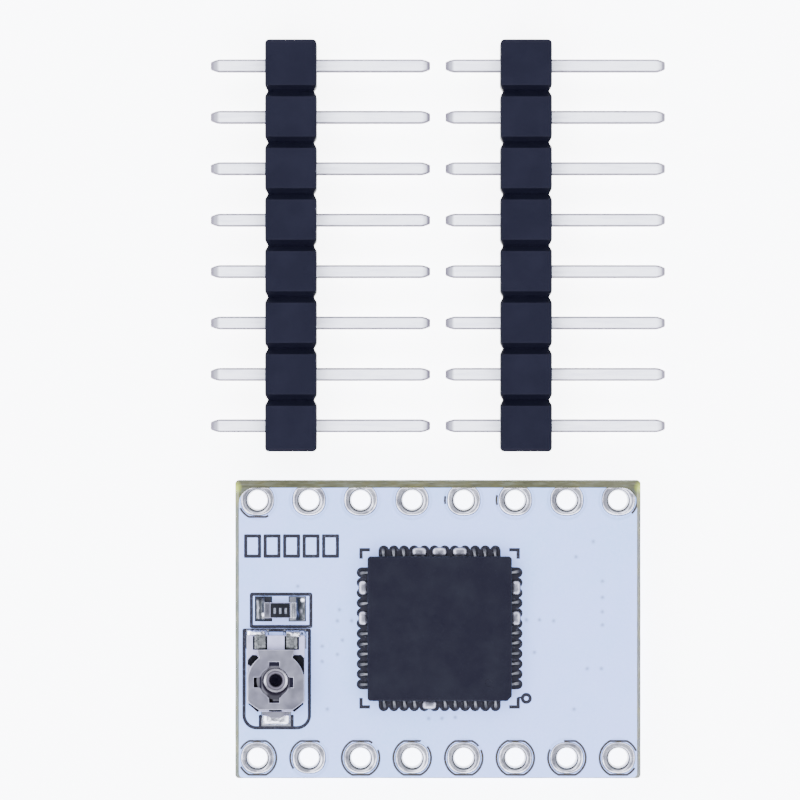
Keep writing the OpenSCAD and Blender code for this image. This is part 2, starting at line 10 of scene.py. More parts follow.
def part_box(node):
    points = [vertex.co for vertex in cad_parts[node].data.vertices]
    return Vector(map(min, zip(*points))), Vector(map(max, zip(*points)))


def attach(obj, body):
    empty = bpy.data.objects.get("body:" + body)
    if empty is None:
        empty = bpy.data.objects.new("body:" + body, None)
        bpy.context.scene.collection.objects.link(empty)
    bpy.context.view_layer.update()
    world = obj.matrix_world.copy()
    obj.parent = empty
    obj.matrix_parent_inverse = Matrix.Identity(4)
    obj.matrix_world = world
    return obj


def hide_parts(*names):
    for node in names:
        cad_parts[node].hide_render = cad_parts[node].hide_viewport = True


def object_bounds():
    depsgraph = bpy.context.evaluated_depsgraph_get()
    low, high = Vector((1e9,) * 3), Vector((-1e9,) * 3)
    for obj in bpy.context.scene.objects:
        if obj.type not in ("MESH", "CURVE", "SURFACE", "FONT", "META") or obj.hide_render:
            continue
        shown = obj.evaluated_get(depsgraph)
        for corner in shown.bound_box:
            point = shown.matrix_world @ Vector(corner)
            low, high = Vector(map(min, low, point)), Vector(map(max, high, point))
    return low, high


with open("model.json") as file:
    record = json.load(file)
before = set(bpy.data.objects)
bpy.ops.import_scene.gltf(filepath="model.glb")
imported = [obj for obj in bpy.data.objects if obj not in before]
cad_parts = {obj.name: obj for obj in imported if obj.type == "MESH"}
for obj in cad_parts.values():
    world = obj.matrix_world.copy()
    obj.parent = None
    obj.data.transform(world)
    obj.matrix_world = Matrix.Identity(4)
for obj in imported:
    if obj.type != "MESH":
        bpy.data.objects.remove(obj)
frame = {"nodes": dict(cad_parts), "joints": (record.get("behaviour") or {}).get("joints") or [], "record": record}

cad_lo, cad_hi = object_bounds()

# Lengths are in millimetres, and become metres when a mesh is made. The board is seen from above,
# with +X east and +Y north.
MM = 0.001
# Points nearer than this are one point
TOUCH = 1e-5


def corners(*nodes):
    """Lowest and highest corner of some CAD nodes together"""
    boxes = [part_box(node) for node in nodes]
    lo = [min(box[0][axis] for box in boxes) / MM for axis in range(3)]
    hi = [max(box[1][axis] for box in boxes) / MM for axis in range(3)]
    return Vector(lo), Vector(hi)


# ---- Sizes read from the frame ----

BOARD_LO, BOARD_HI = corners("board_laminate")
MASK_LO, MASK_HI = corners("solder_mask_top")
CHIP_LO, CHIP_HI = corners("chip_body")
RES_LO, RES_HI = corners("resistor_cap_left", "resistor_cap_right")
BASE_LO, BASE_HI = corners("trimmer_base")
PLATE_LO, PLATE_HI = corners("trimmer_drive_plate")
FOOT_LO, HUB_HI = corners("trimmer_wiper_terminal")
END_CLIPS = {side: corners(f"trimmer_terminal_{side}") for side in ("left", "right")}
SHORT_TIPS = [corners(f"header_{side}_pin_1")[0].x for side in ("left", "right")]

CORE_TOP = MASK_LO.z
CORE_BOTTOM = corners("solder_mask_bottom")[1].z
BOARD_T = MASK_HI.z
LAND_TOP = corners("copper_lands_top")[1].z
LAND_BOTTOM = corners("copper_lands_bottom")[0].z
FLOOR_Z = corners("capacitor_1")[0].z
HUB_Z = HUB_HI.z

CHIP = (CHIP_LO + CHIP_HI) / 2
CHIP_HALF = (CHIP_HI.x - CHIP_LO.x) / 2
TRIM = Vector([joint["pos_m"] for joint in frame["joints"] if joint["name"] == "trimmer_turn"][0]) / MM

HOLE_MOUNTS = [mount for mount in frame["record"]["mounts"] if mount["kind"] == "bore"]
HOLES = [(mount["pos_m"][0] / MM, mount["pos_m"][1] / MM) for mount in HOLE_MOUNTS]
HOLE_ROWS = sorted({y for _, y in HOLES})
HOLE_R = HOLE_MOUNTS[0]["dims"]["r_mm"]
DRILL_R = HOLE_R + 0.04
PITCH = 2.54

# ---- Sizes of the looks ----

PAD_R = 0.81
PAD_HALF = 0.76
MASK_GAP = 0.02
MASK_CORNER_R = 0.75
BOARD_CORNER_R = 0.2
BREAK_DEPTH = 0.45
WEB_WAVE = 0.05
WEB_CHIPS = 0.09
CUT_WAVE = 0.012

CONTACTS = 12
CONTACT_PITCH = 0.5
CONTACT_W = 0.24
LAND_OUT = 0.42
LOOP_R = 0.26
LOOP_OUT = 0.54


# How far a part's lands reach past its ends, and in under them
LAND_PAST = 0.42
LAND_UNDER = 0.35


def box_outline(x0, x1, y0, y1):
    return [(x0, y0), (x1, y0), (x1, y1), (x0, y1)]


def widened(box, by):
    """A four-cornered outline grown on every side"""
    (x0, y0), (x1, y1) = box[0], box[2]
    return box_outline(x0 - by, x1 + by, y0 - by, y1 + by)


def part_lands(x0, x1, y, half):
    """The two lands of a part that lies along X from x0 to x1"""
    return [
        box_outline(x0 - LAND_PAST, x0 + LAND_UNDER, y - half, y + half),
        box_outline(x1 - LAND_UNDER, x1 + LAND_PAST, y - half, y + half),
    ]


RES_END = 0.3
RES_LAND_HALF = 0.575
RES_Y = (RES_LO.y + RES_HI.y) / 2 + 0.06
RES_SOUTH, RES_NORTH = RES_Y - RES_LAND_HALF, RES_Y + RES_LAND_HALF
RES_LANDS = part_lands(RES_LO.x, RES_HI.x, RES_Y, RES_LAND_HALF)

END_LAND_X = 0.925
END_LAND_HALF = 0.55
END_LAND_NORTH = TRIM.y + 2.47
FOOT_LAND_HALF = 0.72
TRIM_LANDS = [
    box_outline(x - END_LAND_HALF, x + END_LAND_HALF, END_LAND_NORTH - 0.92, END_LAND_NORTH)
    for x in (TRIM.x - END_LAND_X, TRIM.x + END_LAND_X)
]
TRIM_LANDS.append(
    box_outline(TRIM.x - FOOT_LAND_HALF, TRIM.x + FOOT_LAND_HALF, FOOT_LO.y - 0.1, FOOT_LO.y + 0.78)
)

# Vias that the mask covers
VIAS = [
    (-6.9, 2.1), (-4.85, 0.95), (-4.95, 0.4), (-4.25, 0.4), (4.35, 0.45), (5.0, 0.45), (5.7, 0.4),
    (8.1, 2.35), (8.1, 1.55), (8.1, 0.85), (8.1, 0.2), (6.8, 3.55), (7.65, 4.3), (-5.7, -0.85),
    (-5.7, -1.6), (-4.95, -1.25), (-4.7, -0.55), (-5.45, -3.95), (-0.45, -4.4), (0.2, -4.4),
    (0.85, -4.35), (4.75, -1.15), (7.35, -1.95), (8.05, -1.95), (6.7, -3.95),
]
HEAT_HALF = 2.6
HEAT_VIAS = [(CHIP.x + 0.95 * i, CHIP.y + 0.95 * j) for i in range(-2, 3) for j in range(-2, 3)]

# Pairs of lands that the solder has run across, as {side: first contact of each pair}. Sides are
# east, north, west and south, and contacts count anticlockwise.
BRIDGES = {0: [6, 9], 1: [3, 5, 7], 2: [1, 4], 3: [4]}


# ---- Materials ----

def add_node(tree, kind, inputs, output=0, **settings):
    """Adds a node whose inputs are linked or set, and returns one of its outputs"""
    node = tree.nodes.new(kind)
    for key, value in settings.items():
        setattr(node, key, value)
    for socket, value in inputs.items():
        if isinstance(value, bpy.types.NodeSocket):
            tree.links.new(value, node.inputs[socket])
        else:
            node.inputs[socket].default_value = value
    return node.outputs[output]


class Shader:
    """A node material on its object's own coordinates"""

    def __init__(self, name, roughness, metallic=0.0, gloss=0.5):
        self.material = bpy.data.materials.new(name)
        self.material.use_nodes = True
        self.tree = self.material.node_tree
        self.surface = self.tree.nodes["Principled BSDF"]
        self.set("Roughness", roughness)
        self.set("Metallic", metallic)
        self.set("Specular IOR Level", gloss)
        self.place = self.add("ShaderNodeTexCoord", {}, "Object")

    def set(self, socket, value):
        self.surface.inputs[socket].default_value = value

    def link(self, socket, result):
        self.tree.links.new(result, self.surface.inputs[socket])

    def add(self, kind, inputs, output=0, **settings):
        return add_node(self.tree, kind, inputs, output, **settings)

    def math(self, operation, *values):
        return self.add("ShaderNodeMath", dict(enumerate(values)), operation=operation)

    def least(self, first, *others):
        """The smallest of some values"""
        for value in others:
            first = self.math("MINIMUM", first, value)
        return first

    def between(self, value, low, high, out_low=0.0, out_high=1.0):
        """The value stretched from low..high to out_low..out_high, and held inside it"""
        inputs = {
            "Value": value, "From Min": low, "From Max": high, "To Min": out_low, "To Max": out_high
        }
        return self.add("ShaderNodeMapRange", inputs)

    def grain(self, size, detail=3, stretch=(1, 1, 1), rough=0.5):
        """Noise from 0 to 1 with lumps of about this size, longer along a stretched axis"""
        place = self.place
        if stretch != (1, 1, 1):
            place = self.add("ShaderNodeMapping", {"Vector": place, "Scale": [1 / s for s in stretch]})
        inputs = {"Vector": place, "Scale": 1 / (size * MM), "Detail": detail, "Roughness": rough}
        return self.add("ShaderNodeTexNoise", inputs)

    def blotches(self, size, low, high, detail=3, stretch=(1, 1, 1)):
        """0 where the grain is at low, and 1 where it is at high"""
        return self.between(self.grain(size, detail, stretch), low, high)

    def axis(self, index):
        """The object's own X, Y or Z"""
        return self.math("MULTIPLY", self.add("ShaderNodeSeparateXYZ", {0: self.place}, index), 1 / MM)

    def spot(self, x, y, inner, outer):
        """1 within a distance of a place on the board, and 0 past the outer one"""
        flat = self.add("ShaderNodeVectorMath", {0: self.place, 1: (1, 1, 0)}, operation="MULTIPLY")
        ends = {0: flat, 1: (x * MM, y * MM, 0)}
        away = self.add("ShaderNodeVectorMath", ends, 1, operation="DISTANCE")
        return self.between(away, inner * MM, outer * MM, 1.0, 0.0)

    def patch(self, x0, x1, y0, y1, soft=0.03):
        """1 inside a rectangle on the board, with soft sides"""
        return self.least(*(
            self.between(self.axis(axis), edge - sign * soft, edge + sign * soft)
            for axis, edge, sign in ((0, x0, 1), (0, x1, -1), (1, y0, 1), (1, y1, -1))
        ))

    def upright(self):
        """1 on faces that look straight up or down, and 0 on upright walls"""
        facing = self.add("ShaderNodeTexCoord", {}, "Normal")
        return self.math("ABSOLUTE", self.add("ShaderNodeSeparateXYZ", {0: facing}, 2))

    def from_chip(self):
        """Distance from the chip's centre along X or Y, whichever is more"""
        away = [self.math("ABSOLUTE", self.math("SUBTRACT", self.axis(k), CHIP[k])) for k in (0, 1)]
        return self.math("MAXIMUM", *away)

    def from_hole(self, x, y):
        """Distance from a point this far beside the centre of the nearest hole"""
        steps = self.math("DIVIDE", self.math("SUBTRACT", self.axis(0), x), PITCH)
        across = self.math("MULTIPLY", self.math("SUBTRACT", self.math("FRACT", steps), 0.5), PITCH)
        along = self.least(*(
            self.math("ABSOLUTE", self.math("SUBTRACT", self.axis(1), row + y)) for row in HOLE_ROWS
        ))
        squares = [self.math("MULTIPLY", value, value) for value in (across, along)]
        return self.math("SQRT", self.math("ADD", *squares))

    def paint(self, tone, *layers):
        """Colours the surface: each layer is (where, colour), over the ones before it"""
        self.set("Base Color", (*tone, 1.0))
        tone = (*tone, 1.0)
        for where, colour in layers:
            inputs = {0: where, 6: tone, 7: (*colour, 1.0)}
            tone = self.add("ShaderNodeMix", inputs, 2, data_type="RGBA")
        self.link("Base Color", tone)

    def dull(self, size, low, high, stretch=(1, 1, 1)):
        """Uneven roughness, from low to high"""
        self.link("Roughness", self.between(self.grain(size, 3, stretch), 0.3, 0.7, low, high))

    def bump(self, *layers):
        """Bumps from (height, depth) layers, one on another"""
        normal = None
        for height, depth in layers:
            inputs = {"Height": height, "Strength": 1.0, "Distance": depth * MM}
            if normal:
                inputs["Normal"] = normal
            normal = self.add("ShaderNodeBump", inputs)
        self.link("Normal", normal)


def laminate_material():
    """Cut glass fibre in epoxy: olive, with pale fibres along the edge and darker torn plies, a painted highlight
    at each north corner, and painted shade on the top face where it shows in the mask's openings
    """
    s = Shader("cut_laminate", 0.62, gloss=0.15)
    fibres = s.grain(0.09, 4, (9, 9, 1))
    layers = [
        (s.between(s.axis(0), 9.0, 9.9), (0.05, 0.054, 0.058)),
        (s.between(s.axis(1), MASK_HI.y - 0.3, MASK_HI.y + 0.05), (0.075, 0.074, 0.04)),
        (s.blotches(0.6, 0.45, 0.75), (0.085, 0.08, 0.03)),
        (s.between(fibres, 0.5, 0.8), (0.14, 0.15, 0.11)),
        (s.between(fibres, 0.42, 0.25), (0.03, 0.031, 0.022)),
    ]
    for x in (-BOARD_HI.x, BOARD_HI.x):
        # Painted highlight: a yellow-green glint at the north corner of each side edge
        layers.append((s.spot(x, MASK_HI.y, 0.12, 0.38), (0.24, 0.28, 0.03)))
        layers.append((s.spot(x, HOLE_ROWS[1], 0.12, 0.5), (0.1, 0.1, 0.03)))
    layers.append((s.between(s.axis(1), MASK_LO.y + 0.05, MASK_LO.y), (0.02, 0.02, 0.018)))
    # Painted shade: where the top face shows in the mask's openings round the parts, it is painted near black as a
    # shaded recess
    shaded_top_face = s.between(s.axis(2), CORE_TOP - 0.02, CORE_TOP - 0.005)
    layers.append((s.least(shaded_top_face, s.patch(-9.75, 9.75, -5.2, 5.2)), (0.012, 0.012, 0.015)))
    s.paint((0.044, 0.054, 0.042), *layers)
    s.bump((fibres, 0.04), (s.grain(0.03, 2), 0.01))
    return s.material


def mask_material():
    """White solder mask: bluish, satin, a little uneven, darker where a covered via shows through"""
    s = Shader("white_mask", 0.36, gloss=0.4)
    s.paint(
        (0.34, 0.49, 0.88),
        (s.blotches(3.2, 0.38, 0.62, 2), (0.38, 0.48, 0.91)),
        (s.blotches(0.12, 0.35, 0.8, 2), (0.4, 0.52, 0.92)),
        (s.add("ShaderNodeAttribute", {}, 2, attribute_name="shade"), (0.13, 0.16, 0.25)),
    )
    s.dull(0.8, 0.3, 0.46)
    s.bump((s.grain(0.35, 2), 0.004), (s.grain(0.06, 2), 0.0015))
    return s.material


def ink_material():
    """Printed ink: dark navy, thin and broken in places, and greyer in the rings round the holes"""
    s = Shader("legend_ink", 0.5, gloss=0.15)
    s.paint(
        (0.012, 0.011, 0.017),
        (s.blotches(0.16, 0.56, 0.8, 4), (0.06, 0.062, 0.08)),
        (s.between(s.from_hole(0, 0), 1.3, 1.2), (0.036, 0.031, 0.029)),
    )
    s.bump((s.grain(0.05, 2), 0.004))
    return s.material


def bar_material():
    """Pale print on the resistor's glass, worn through in places"""
    s = Shader("print_white", 0.5)
    s.paint((0.16, 0.165, 0.2), (s.blotches(0.07, 0.4, 0.7), (0.05, 0.055, 0.08)))
    return s.material


def metal_material(name, bright, dark, size, roughness, depth, stretch=(1, 1, 1)):
    """Tinned or plated metal: bright with duller patches, and a fine uneven skin"""
    s = Shader(name, roughness[0], 1.0)
    patches = s.grain(size, 4, stretch)
    s.paint(bright, (s.between(patches, 0.42, 0.72), dark))
    s.dull(size * 0.6, *roughness, stretch)
    s.bump((patches, depth), (s.grain(size * 0.22, 2, stretch), depth * 0.3))
    return s.material


def chip_material():
    """Moulded black plastic: blue-black, fine sparkle from the filler, faint cloudy marks"""
    s = Shader("chip_epoxy", 0.5, gloss=0.08)
    s.paint(
        (0.0048, 0.0044, 0.0095),
        (s.between(s.grain(1.5, 3, rough=0.6), 0.4, 0.68), (0.0075, 0.0075, 0.0125)),
        (s.blotches(0.045, 0.62, 0.8, 2), (0.012, 0.012, 0.02)),
    )
    s.dull(0.4, 0.42, 0.58)
    s.bump((s.grain(0.045), 0.003), (s.grain(0.5, 2), 0.003))
    return s.material


def pin_material():
    """Bright drawn tin, grey on the sheared tips of the short ends, and with painted shade making its rounded
    edges grey
    """
    s = Shader("pin_tin", 0.7, 1.0)
    streaks = s.grain(0.16, 3, (9, 1, 1))
    layers = [(s.between(streaks, 0.45, 0.8), (0.86, 0.84, 0.88))]
    for tip in SHORT_TIPS:
        near_side = s.between(s.axis(0), tip + 0.44, tip + 0.3)
        far_side = s.between(s.axis(0), tip - 0.6, tip - 0.5)
        layers.append((s.least(near_side, far_side), (0.42, 0.41, 0.43)))
    # The last layer is painted shade: faces that tilt away from facing straight up or down turn grey
    s.paint((1.0, 0.985, 1.0), *layers, (s.between(s.upright(), 0.99, 0.88), (0.22, 0.2, 0.24)))
    s.link("Roughness", s.between(streaks, 0.3, 0.7, 0.66, 0.72))
    s.bump((streaks, 0.004))
    return s.material


def strip_material():
    """The headers' moulded plastic, with painted shade making its slopes and walls a deeper black"""
    s = Shader("header_plastic", 0.5, gloss=0.07)
    s.paint(
        (0.0044, 0.0044, 0.0105),
        (s.blotches(1.4, 0.4, 0.68), (0.0056, 0.0056, 0.0125)),
        # Painted shade: faces that tilt away from facing straight up or down are painted deeper black
        (s.between(s.upright(), 0.85, 0.3), (0.0018, 0.0018, 0.0045)),
    )
    s.dull(0.4, 0.46, 0.6)
    s.bump((s.grain(0.09), 0.003), (s.grain(0.5, 2), 0.004))
    return s.material


def eyelet_material():
    """Dipped tin on the pads, with painted shade round each hole's rim, broadest to the south-west, and painted
    shade down the wall in the hole
    """
    s = Shader("dipped_tin", 0.2, 1.0)
    patches = s.grain(0.5, 2)
    from_middle = s.math("ABSOLUTE", s.math("SUBTRACT", s.axis(2), BOARD_T / 2))
    s.paint(
        (0.78, 0.76, 0.81),
        (s.between(patches, 0.4, 0.66), (0.38, 0.37, 0.42)),
        # Painted shade: a dark ring round the rim of each hole, offset so it is broadest to the south-west
        (s.between(s.from_hole(-0.03, -0.035), 0.65, 0.57), (0.1, 0.1, 0.11)),
        # Painted shade: the wall down in the hole, away from both faces of the board, is painted near black
        (s.between(from_middle, BOARD_T / 2, BOARD_T / 2 - 0.1), (0.05, 0.05, 0.055)),
    )
    s.dull(0.3, 0.14, 0.26)
    s.bump((patches, 0.01), (s.grain(0.12, 2), 0.002))
    return s.material


def land_material():
    """Thin tin on bare copper lands, with painted shade that darkens them round the chip and at the resistor's
    west end
    """
    s = Shader("land_tin", 0.34, 1.0)
    by_chip = s.between(s.from_chip(), CHIP_HALF + 0.6, CHIP_HALF + 0.5)
    s.paint(
        (0.3, 0.3, 0.32),
        (s.blotches(0.4, 0.42, 0.72, 4), (0.2, 0.2, 0.22)),
        # Painted shade: the top lands beside the chip are painted near black
        (s.least(by_chip, s.between(s.axis(2), 0.6, 0.9)), (0.025, 0.025, 0.032)),
        # Painted shade on the land round the resistor's west joint
        (s.patch(RES_LO.x - 1, RES_LO.x + 0.4, RES_SOUTH - 0.1, RES_NORTH + 0.1), (0.05, 0.05, 0.058)),
    )
    s.bump((s.grain(0.1), 0.004))
    return s.material


def spring_material():
    """Phosphor bronze under the plate, with a darker grey band across the south arm, painted shadow on the arms of
    the cross where the plate's edges shade them, and painted shade round the hub
    """
    s = Shader("spring_bronze", 0.34, 1.0)
    dark = (0.02, 0.018, 0.03)
    layers = [(s.blotches(0.3, 0.42, 0.72, 4, (1, 5, 1)), (0.1, 0.095, 0.1))]
    # Painted shadow where the plate's edges shade the arms of the cross, and a darker grey band across the south
    # arm
    for x0, x1, y0, y1, colour in (
        (-0.4, 0.3, 0.7, 0.95, dark), (-0.4, 0.3, -1.3, -1.0, (0.012, 0.01, 0.018)),
        (-0.8, -0.7, -0.4, 0.2, dark), (0.66, 0.9, -0.4, 0.2, dark),
        (-0.4, 0.3, -0.96, -0.66, (0.06, 0.056, 0.065)),
    ):
        layers.append((s.patch(TRIM.x + x0, TRIM.x + x1, TRIM.y + y0, TRIM.y + y1), colour))
    # Painted shade under the hub's rim, a little south of the axis
    painted_hub_shade = s.spot(TRIM.x - 0.02, TRIM.y - 0.08, 0.62, 0.71)
    s.paint((0.19, 0.18, 0.2), *layers, (painted_hub_shade, (0.02, 0.016, 0.025)))
    s.bump((s.grain(0.2, 3, (1, 5, 1)), 0.003))
    return s.material


def fillet_material():
    """A starved joint on the chip resistor: dark flux glass between bright facets of solder, with painted shade
    along the west joint's north and south sides, and a painted highlight on each joint
    """
    s = Shader("resistor_joint", 0.3, 1.0)
    facets = s.grain(0.22, 3, (1, 2.2, 1))
    layers = [
        (s.between(facets, 0.5, 0.66), (0.21, 0.205, 0.235)),
        (s.between(facets, 0.44, 0.32), (0.02, 0.02, 0.024)),
    ]
    # Painted shade along the north and south sides of the west joint
    for y0, y1 in ((RES_NORTH - 0.17, RES_NORTH + 0.1), (RES_SOUTH - 0.1, RES_SOUTH + 0.06)):
        layers.append((s.patch(RES_LO.x - 1, RES_LO.x + 0.4, y0, y1), (0.03, 0.03, 0.036)))
    # Painted highlights, one on each joint
    painted_highlights = (RES_HI.x + 0.29, RES_NORTH - 0.13, 0.13), (RES_LO.x - 0.02, RES_SOUTH + 0.3, 0.12)
    for x, y, reach in painted_highlights:
        layers.append((s.spot(x, y, 0.04, reach), (0.95, 0.93, 0.97)))
    s.paint((0.05, 0.053, 0.055), *layers)
    s.link("Roughness", s.between(facets, 0.35, 0.65, 0.42, 0.2))
    s.bump((facets, 0.012))
    return s.material


def thin_solder_material():
    """Thin solder on the chip's lands: grey beside the chip, and nearly black at the outer ends"""
    s = Shader("thin_solder", 0.4, 1.0)
    s.paint(
        (0.13, 0.127, 0.135),
        (s.blotches(0.3, 0.4, 0.65, 2), (0.055, 0.055, 0.06)),
        (s.between(s.from_chip(), CHIP_HALF + 0.2, CHIP_HALF + 0.4), (0.02, 0.02, 0.028)),
    )
    s.bump((s.grain(0.08, 2), 0.004))
    return s.material


def hub_material():
    """Turned and rolled metal, with painted highlights at both sides of its rim, painted shade inside the rim, and
    painted shade down in its hole, which is also rougher
    """
    s = Shader("hub_metal", 0.3, 1.0)
    deep = s.between(s.axis(2), HUB_Z - 0.3, HUB_Z - 0.12, 1.0, 0.0)
    painted_highlight = (0.6, 0.57, 0.62)
    s.paint(
        (0.2, 0.185, 0.205),
        (s.blotches(0.3, 0.4, 0.7), (0.13, 0.12, 0.135)),
        # Painted highlights at the west and east sides of the rim
        (s.spot(TRIM.x - 0.54, TRIM.y, 0.05, 0.3), painted_highlight),
        (s.spot(TRIM.x + 0.54, TRIM.y, 0.05, 0.42), painted_highlight),
        # Painted shade inside the rim
        (s.spot(TRIM.x, TRIM.y, 0.43, 0.5), (0.09, 0.08, 0.095)),
        # Painted shade: down in the hole the metal is painted nearly black
        (deep, (0.03, 0.025, 0.045)),
    )
    s.link("Roughness", s.between(deep, 0.0, 1.0, 0.3, 0.6))
    s.bump((s.grain(0.1, 2), 0.002))
    return s.material


def ceramic_material(name, light, dark, rough):
    """Fired ceramic: dense and fine, with faint darker specks"""
    s = Shader(name, rough, gloss=0.4)
    cells = s.add("ShaderNodeTexVoronoi", {"Vector": s.place, "Scale": 1 / (0.11 * MM)})
    specks = s.between(cells, 0.0, 0.35, 1.0, 0.0)
    s.paint(light, (s.blotches(0.5, 0.4, 0.7), dark), (s.between(specks, 0.75, 1.0, 0.0, 0.4), dark))
    s.bump((s.grain(0.05), 0.004))
    return s.material


def coat_material(name, face, fleck, rough, gloss=0.15):
    """Glassy printed film, with a soft ripple"""
    s = Shader(name, rough, gloss=gloss)
    s.paint(face, (s.blotches(0.14, 0.5, 0.8, 4), fleck))
    s.bump((s.grain(0.12, 2), 0.005))
    return s.material


# Bright and dark tone, size of the patches, least and most roughness, depth of the bumps, stretch
METALS = {
    "solder": ((0.85, 0.83, 0.87), (0.4, 0.39, 0.42), 0.22, (0.18, 0.3), 0.008),
    "bridging_solder": ((0.34, 0.33, 0.37), (0.2, 0.195, 0.225), 0.25, (0.26, 0.36), 0.004),
    "joint_bright": ((0.9, 0.88, 0.93), (0.4, 0.38, 0.42), 0.13, (0.2, 0.3), 0.008),
    "joint_dull": ((0.75, 0.74, 0.78), (0.05, 0.055, 0.05), 0.12, (0.2, 0.3), 0.008),
    "nickel": ((0.26, 0.25, 0.29), (0.19, 0.18, 0.22), 0.9, (0.28, 0.4), 0.004),
    "worn_nickel": ((0.2, 0.2, 0.2), (0.045, 0.05, 0.045), 0.16, (0.26, 0.4), 0.008),
    "end_metal": ((0.5, 0.5, 0.54), (0.34, 0.34, 0.38), 0.25, (0.2, 0.32), 0.003),
    "end_dull": ((0.2, 0.195, 0.22), (0.07, 0.07, 0.08), 0.3, (0.24, 0.36), 0.008, (1, 2.4, 1)),
    "end_striped": ((0.5, 0.49, 0.53), (0.12, 0.12, 0.13), 0.09, (0.2, 0.3), 0.006, (1, 9, 1)),
    "copper": ((0.72, 0.4, 0.26), (0.5, 0.26, 0.16), 0.4, (0.25, 0.4), 0.006),
    "gold_wire": ((0.9, 0.66, 0.25), (0.8, 0.55, 0.2), 0.05, (0.2, 0.3), 0.001),
}
MATERIALS = {name: metal_material(name, *look) for name, look in METALS.items()}
MATERIALS |= {
    "laminate": laminate_material(),
    "solder_mask": mask_material(),
    "legend_ink": ink_material(),
    "resistor_bar": bar_material(),
    "tin": land_material(),
    "dipped_tin": eyelet_material(),
    "thin_solder": thin_solder_material(),
    "resistor_joint": fillet_material(),
    "hub_metal": hub_material(),
    "pin_metal": pin_material(),
    "spring_bronze": spring_material(),
    "chip_epoxy": chip_material(),
    "header_plastic": strip_material(),
    "white_ceramic": ceramic_material("alumina", (0.36, 0.35, 0.5), (0.29, 0.28, 0.4), 0.38),
    "capacitor_ceramic": ceramic_material("tan_ceramic", (0.2, 0.13, 0.08), (0.15, 0.1, 0.06), 0.42),
    "resistive_film": coat_material(
        "resistive_film", (0.002, 0.002, 0.003), (0.008, 0.008, 0.012), 0.5, 0.06
    ),
    "glass_coat": coat_material("glass_coat", (0.003, 0.003, 0.005), (0.008, 0.009, 0.014), 0.35),
    "silicon": coat_material("silicon", (0.08, 0.085, 0.1), (0.12, 0.125, 0.15), 0.15, 0.5),
}


# ---- Mesh tools ----

def new_mesh(bm, name):
    """Turns a bmesh in millimetres into a mesh in metres"""
    bmesh.ops.scale(bm, vec=(MM, MM, MM), verts=bm.verts)
    mesh = bpy.data.meshes.new(name)
    bm.to_mesh(mesh)
    bm.free()
    return mesh


def new_object(name, data):
    thing = bpy.data.objects.new(name, data)
    bpy.context.scene.collection.objects.link(thing)
    return thing


def finish(bm, name, slot, replaces=(), smooth=38, material=None, body="board"):
    """Turns a bmesh into a piece that rides on a body; edges sharper than smooth stay sharp"""
    bmesh.ops.remove_doubles(bm, verts=bm.verts, dist=TOUCH)
    bmesh.ops.recalc_face_normals(bm, faces=bm.faces)
    mesh = new_mesh(bm, name)
    mesh.shade_smooth()
    mesh.set_sharp_from_angle(angle=math.radians(smooth))
    mesh.materials.append(MATERIALS[material or slot])
    piece = new_object(name, mesh)
    weighted = piece.modifiers.new("even_normals", "WEIGHTED_NORMAL")
    weighted.keep_sharp = True
    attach(piece, body)
    if replaces:
        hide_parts(*replaces)
    return piece


def bevel(piece, width, clamp=True):
    """Rounds a piece's edges"""
    modifier = piece.modifiers.new("rounding", "BEVEL")
    modifier.width = width * MM
    modifier.segments = 3
    modifier.limit_method = "ANGLE"
    modifier.angle_limit = math.radians(40)
    modifier.use_clamp_overlap = clamp
    piece.modifiers.move(len(piece.modifiers) - 1, 0)


def rounded_rect(x0, x1, y0, y1, radii, steps=8):
    """Closed outline of a rectangle; radii are for its NE, NW, SW and SE corners"""
    points = []
    places = ((x1, y1, -1, -1), (x0, y1, 1, -1), (x0, y0, 1, 1), (x1, y0, -1, 1))
    for quarter, (x, y, in_x, in_y) in enumerate(places):
        r = radii[quarter]
        for k in range(steps + 1):
            turn = math.radians(90 * (quarter + k / steps))
            points.append((x + in_x * r + r * math.cos(turn), y + in_y * r + r * math.sin(turn)))
    return points


def full_turn(count):
    return [2 * math.pi * k / count for k in range(count)]


def circle(x, y, r, count=48):
    return [(x + r * math.cos(t), y + r * math.sin(t)) for t in full_turn(count)]


def rings_of_points(places, radii, count=20):
    """Each place and circles of points round it"""
    return [p for x, y in places for r in radii for p in circle(x, y, r, count)] + list(places)


def placed(outline, x=0.0, y=0.0, turn=0.0):
    c, s = math.cos(math.radians(turn)), math.sin(math.radians(turn))
    return [(x + c * px - s * py, y + s * px + c * py) for px, py in outline]


def inside(points, outline):
    """Which of the points lie inside a closed outline"""
    a = np.array(outline)
    b = np.roll(a, -1, axis=0)
    result = np.zeros(len(points), bool)
    lo, hi = a.min(axis=0), a.max(axis=0)
    near = np.flatnonzero(((points > lo) & (points < hi)).all(axis=1))
    x, y = points[near, :1], points[near, 1:]
    rise = b[:, 1] - a[:, 1]
    rise[rise == 0] = 1e-12
    crosses = (a[:, 1] > y) != (b[:, 1] > y)
    left = x < a[:, 0] + (y - a[:, 1]) * (b[:, 0] - a[:, 0]) / rise
    result[near] = (crosses & left).sum(axis=1) % 2 == 1
    return result


def only_inside(points, outline):
    points = np.array(points)
    return [tuple(p) for p in points[inside(points, outline)]]


def grid_points(outline, step):
    """A grid of points inside an outline, with every second row shifted"""
    (x0, y0), (x1, y1) = np.min(outline, axis=0), np.max(outline, axis=0)
    points = []
    for j, y in enumerate(np.arange(y0 + step, y1, step)):
        points += [(x + step / 2 * (j % 2), y) for x in np.arange(x0 + step, x1 - step, step)]
    return only_inside(points, outline)


def keep_inside(outer, holes=(), also=()):
    """A test for middles inside the outer outline, or another one, and outside every hole"""
    def test(points):
        kept = inside(points, outer)
        for outline in also:
            kept |= inside(points, outline)
        for hole in holes:
            kept &= ~inside(points, hole)
        return kept
    return test


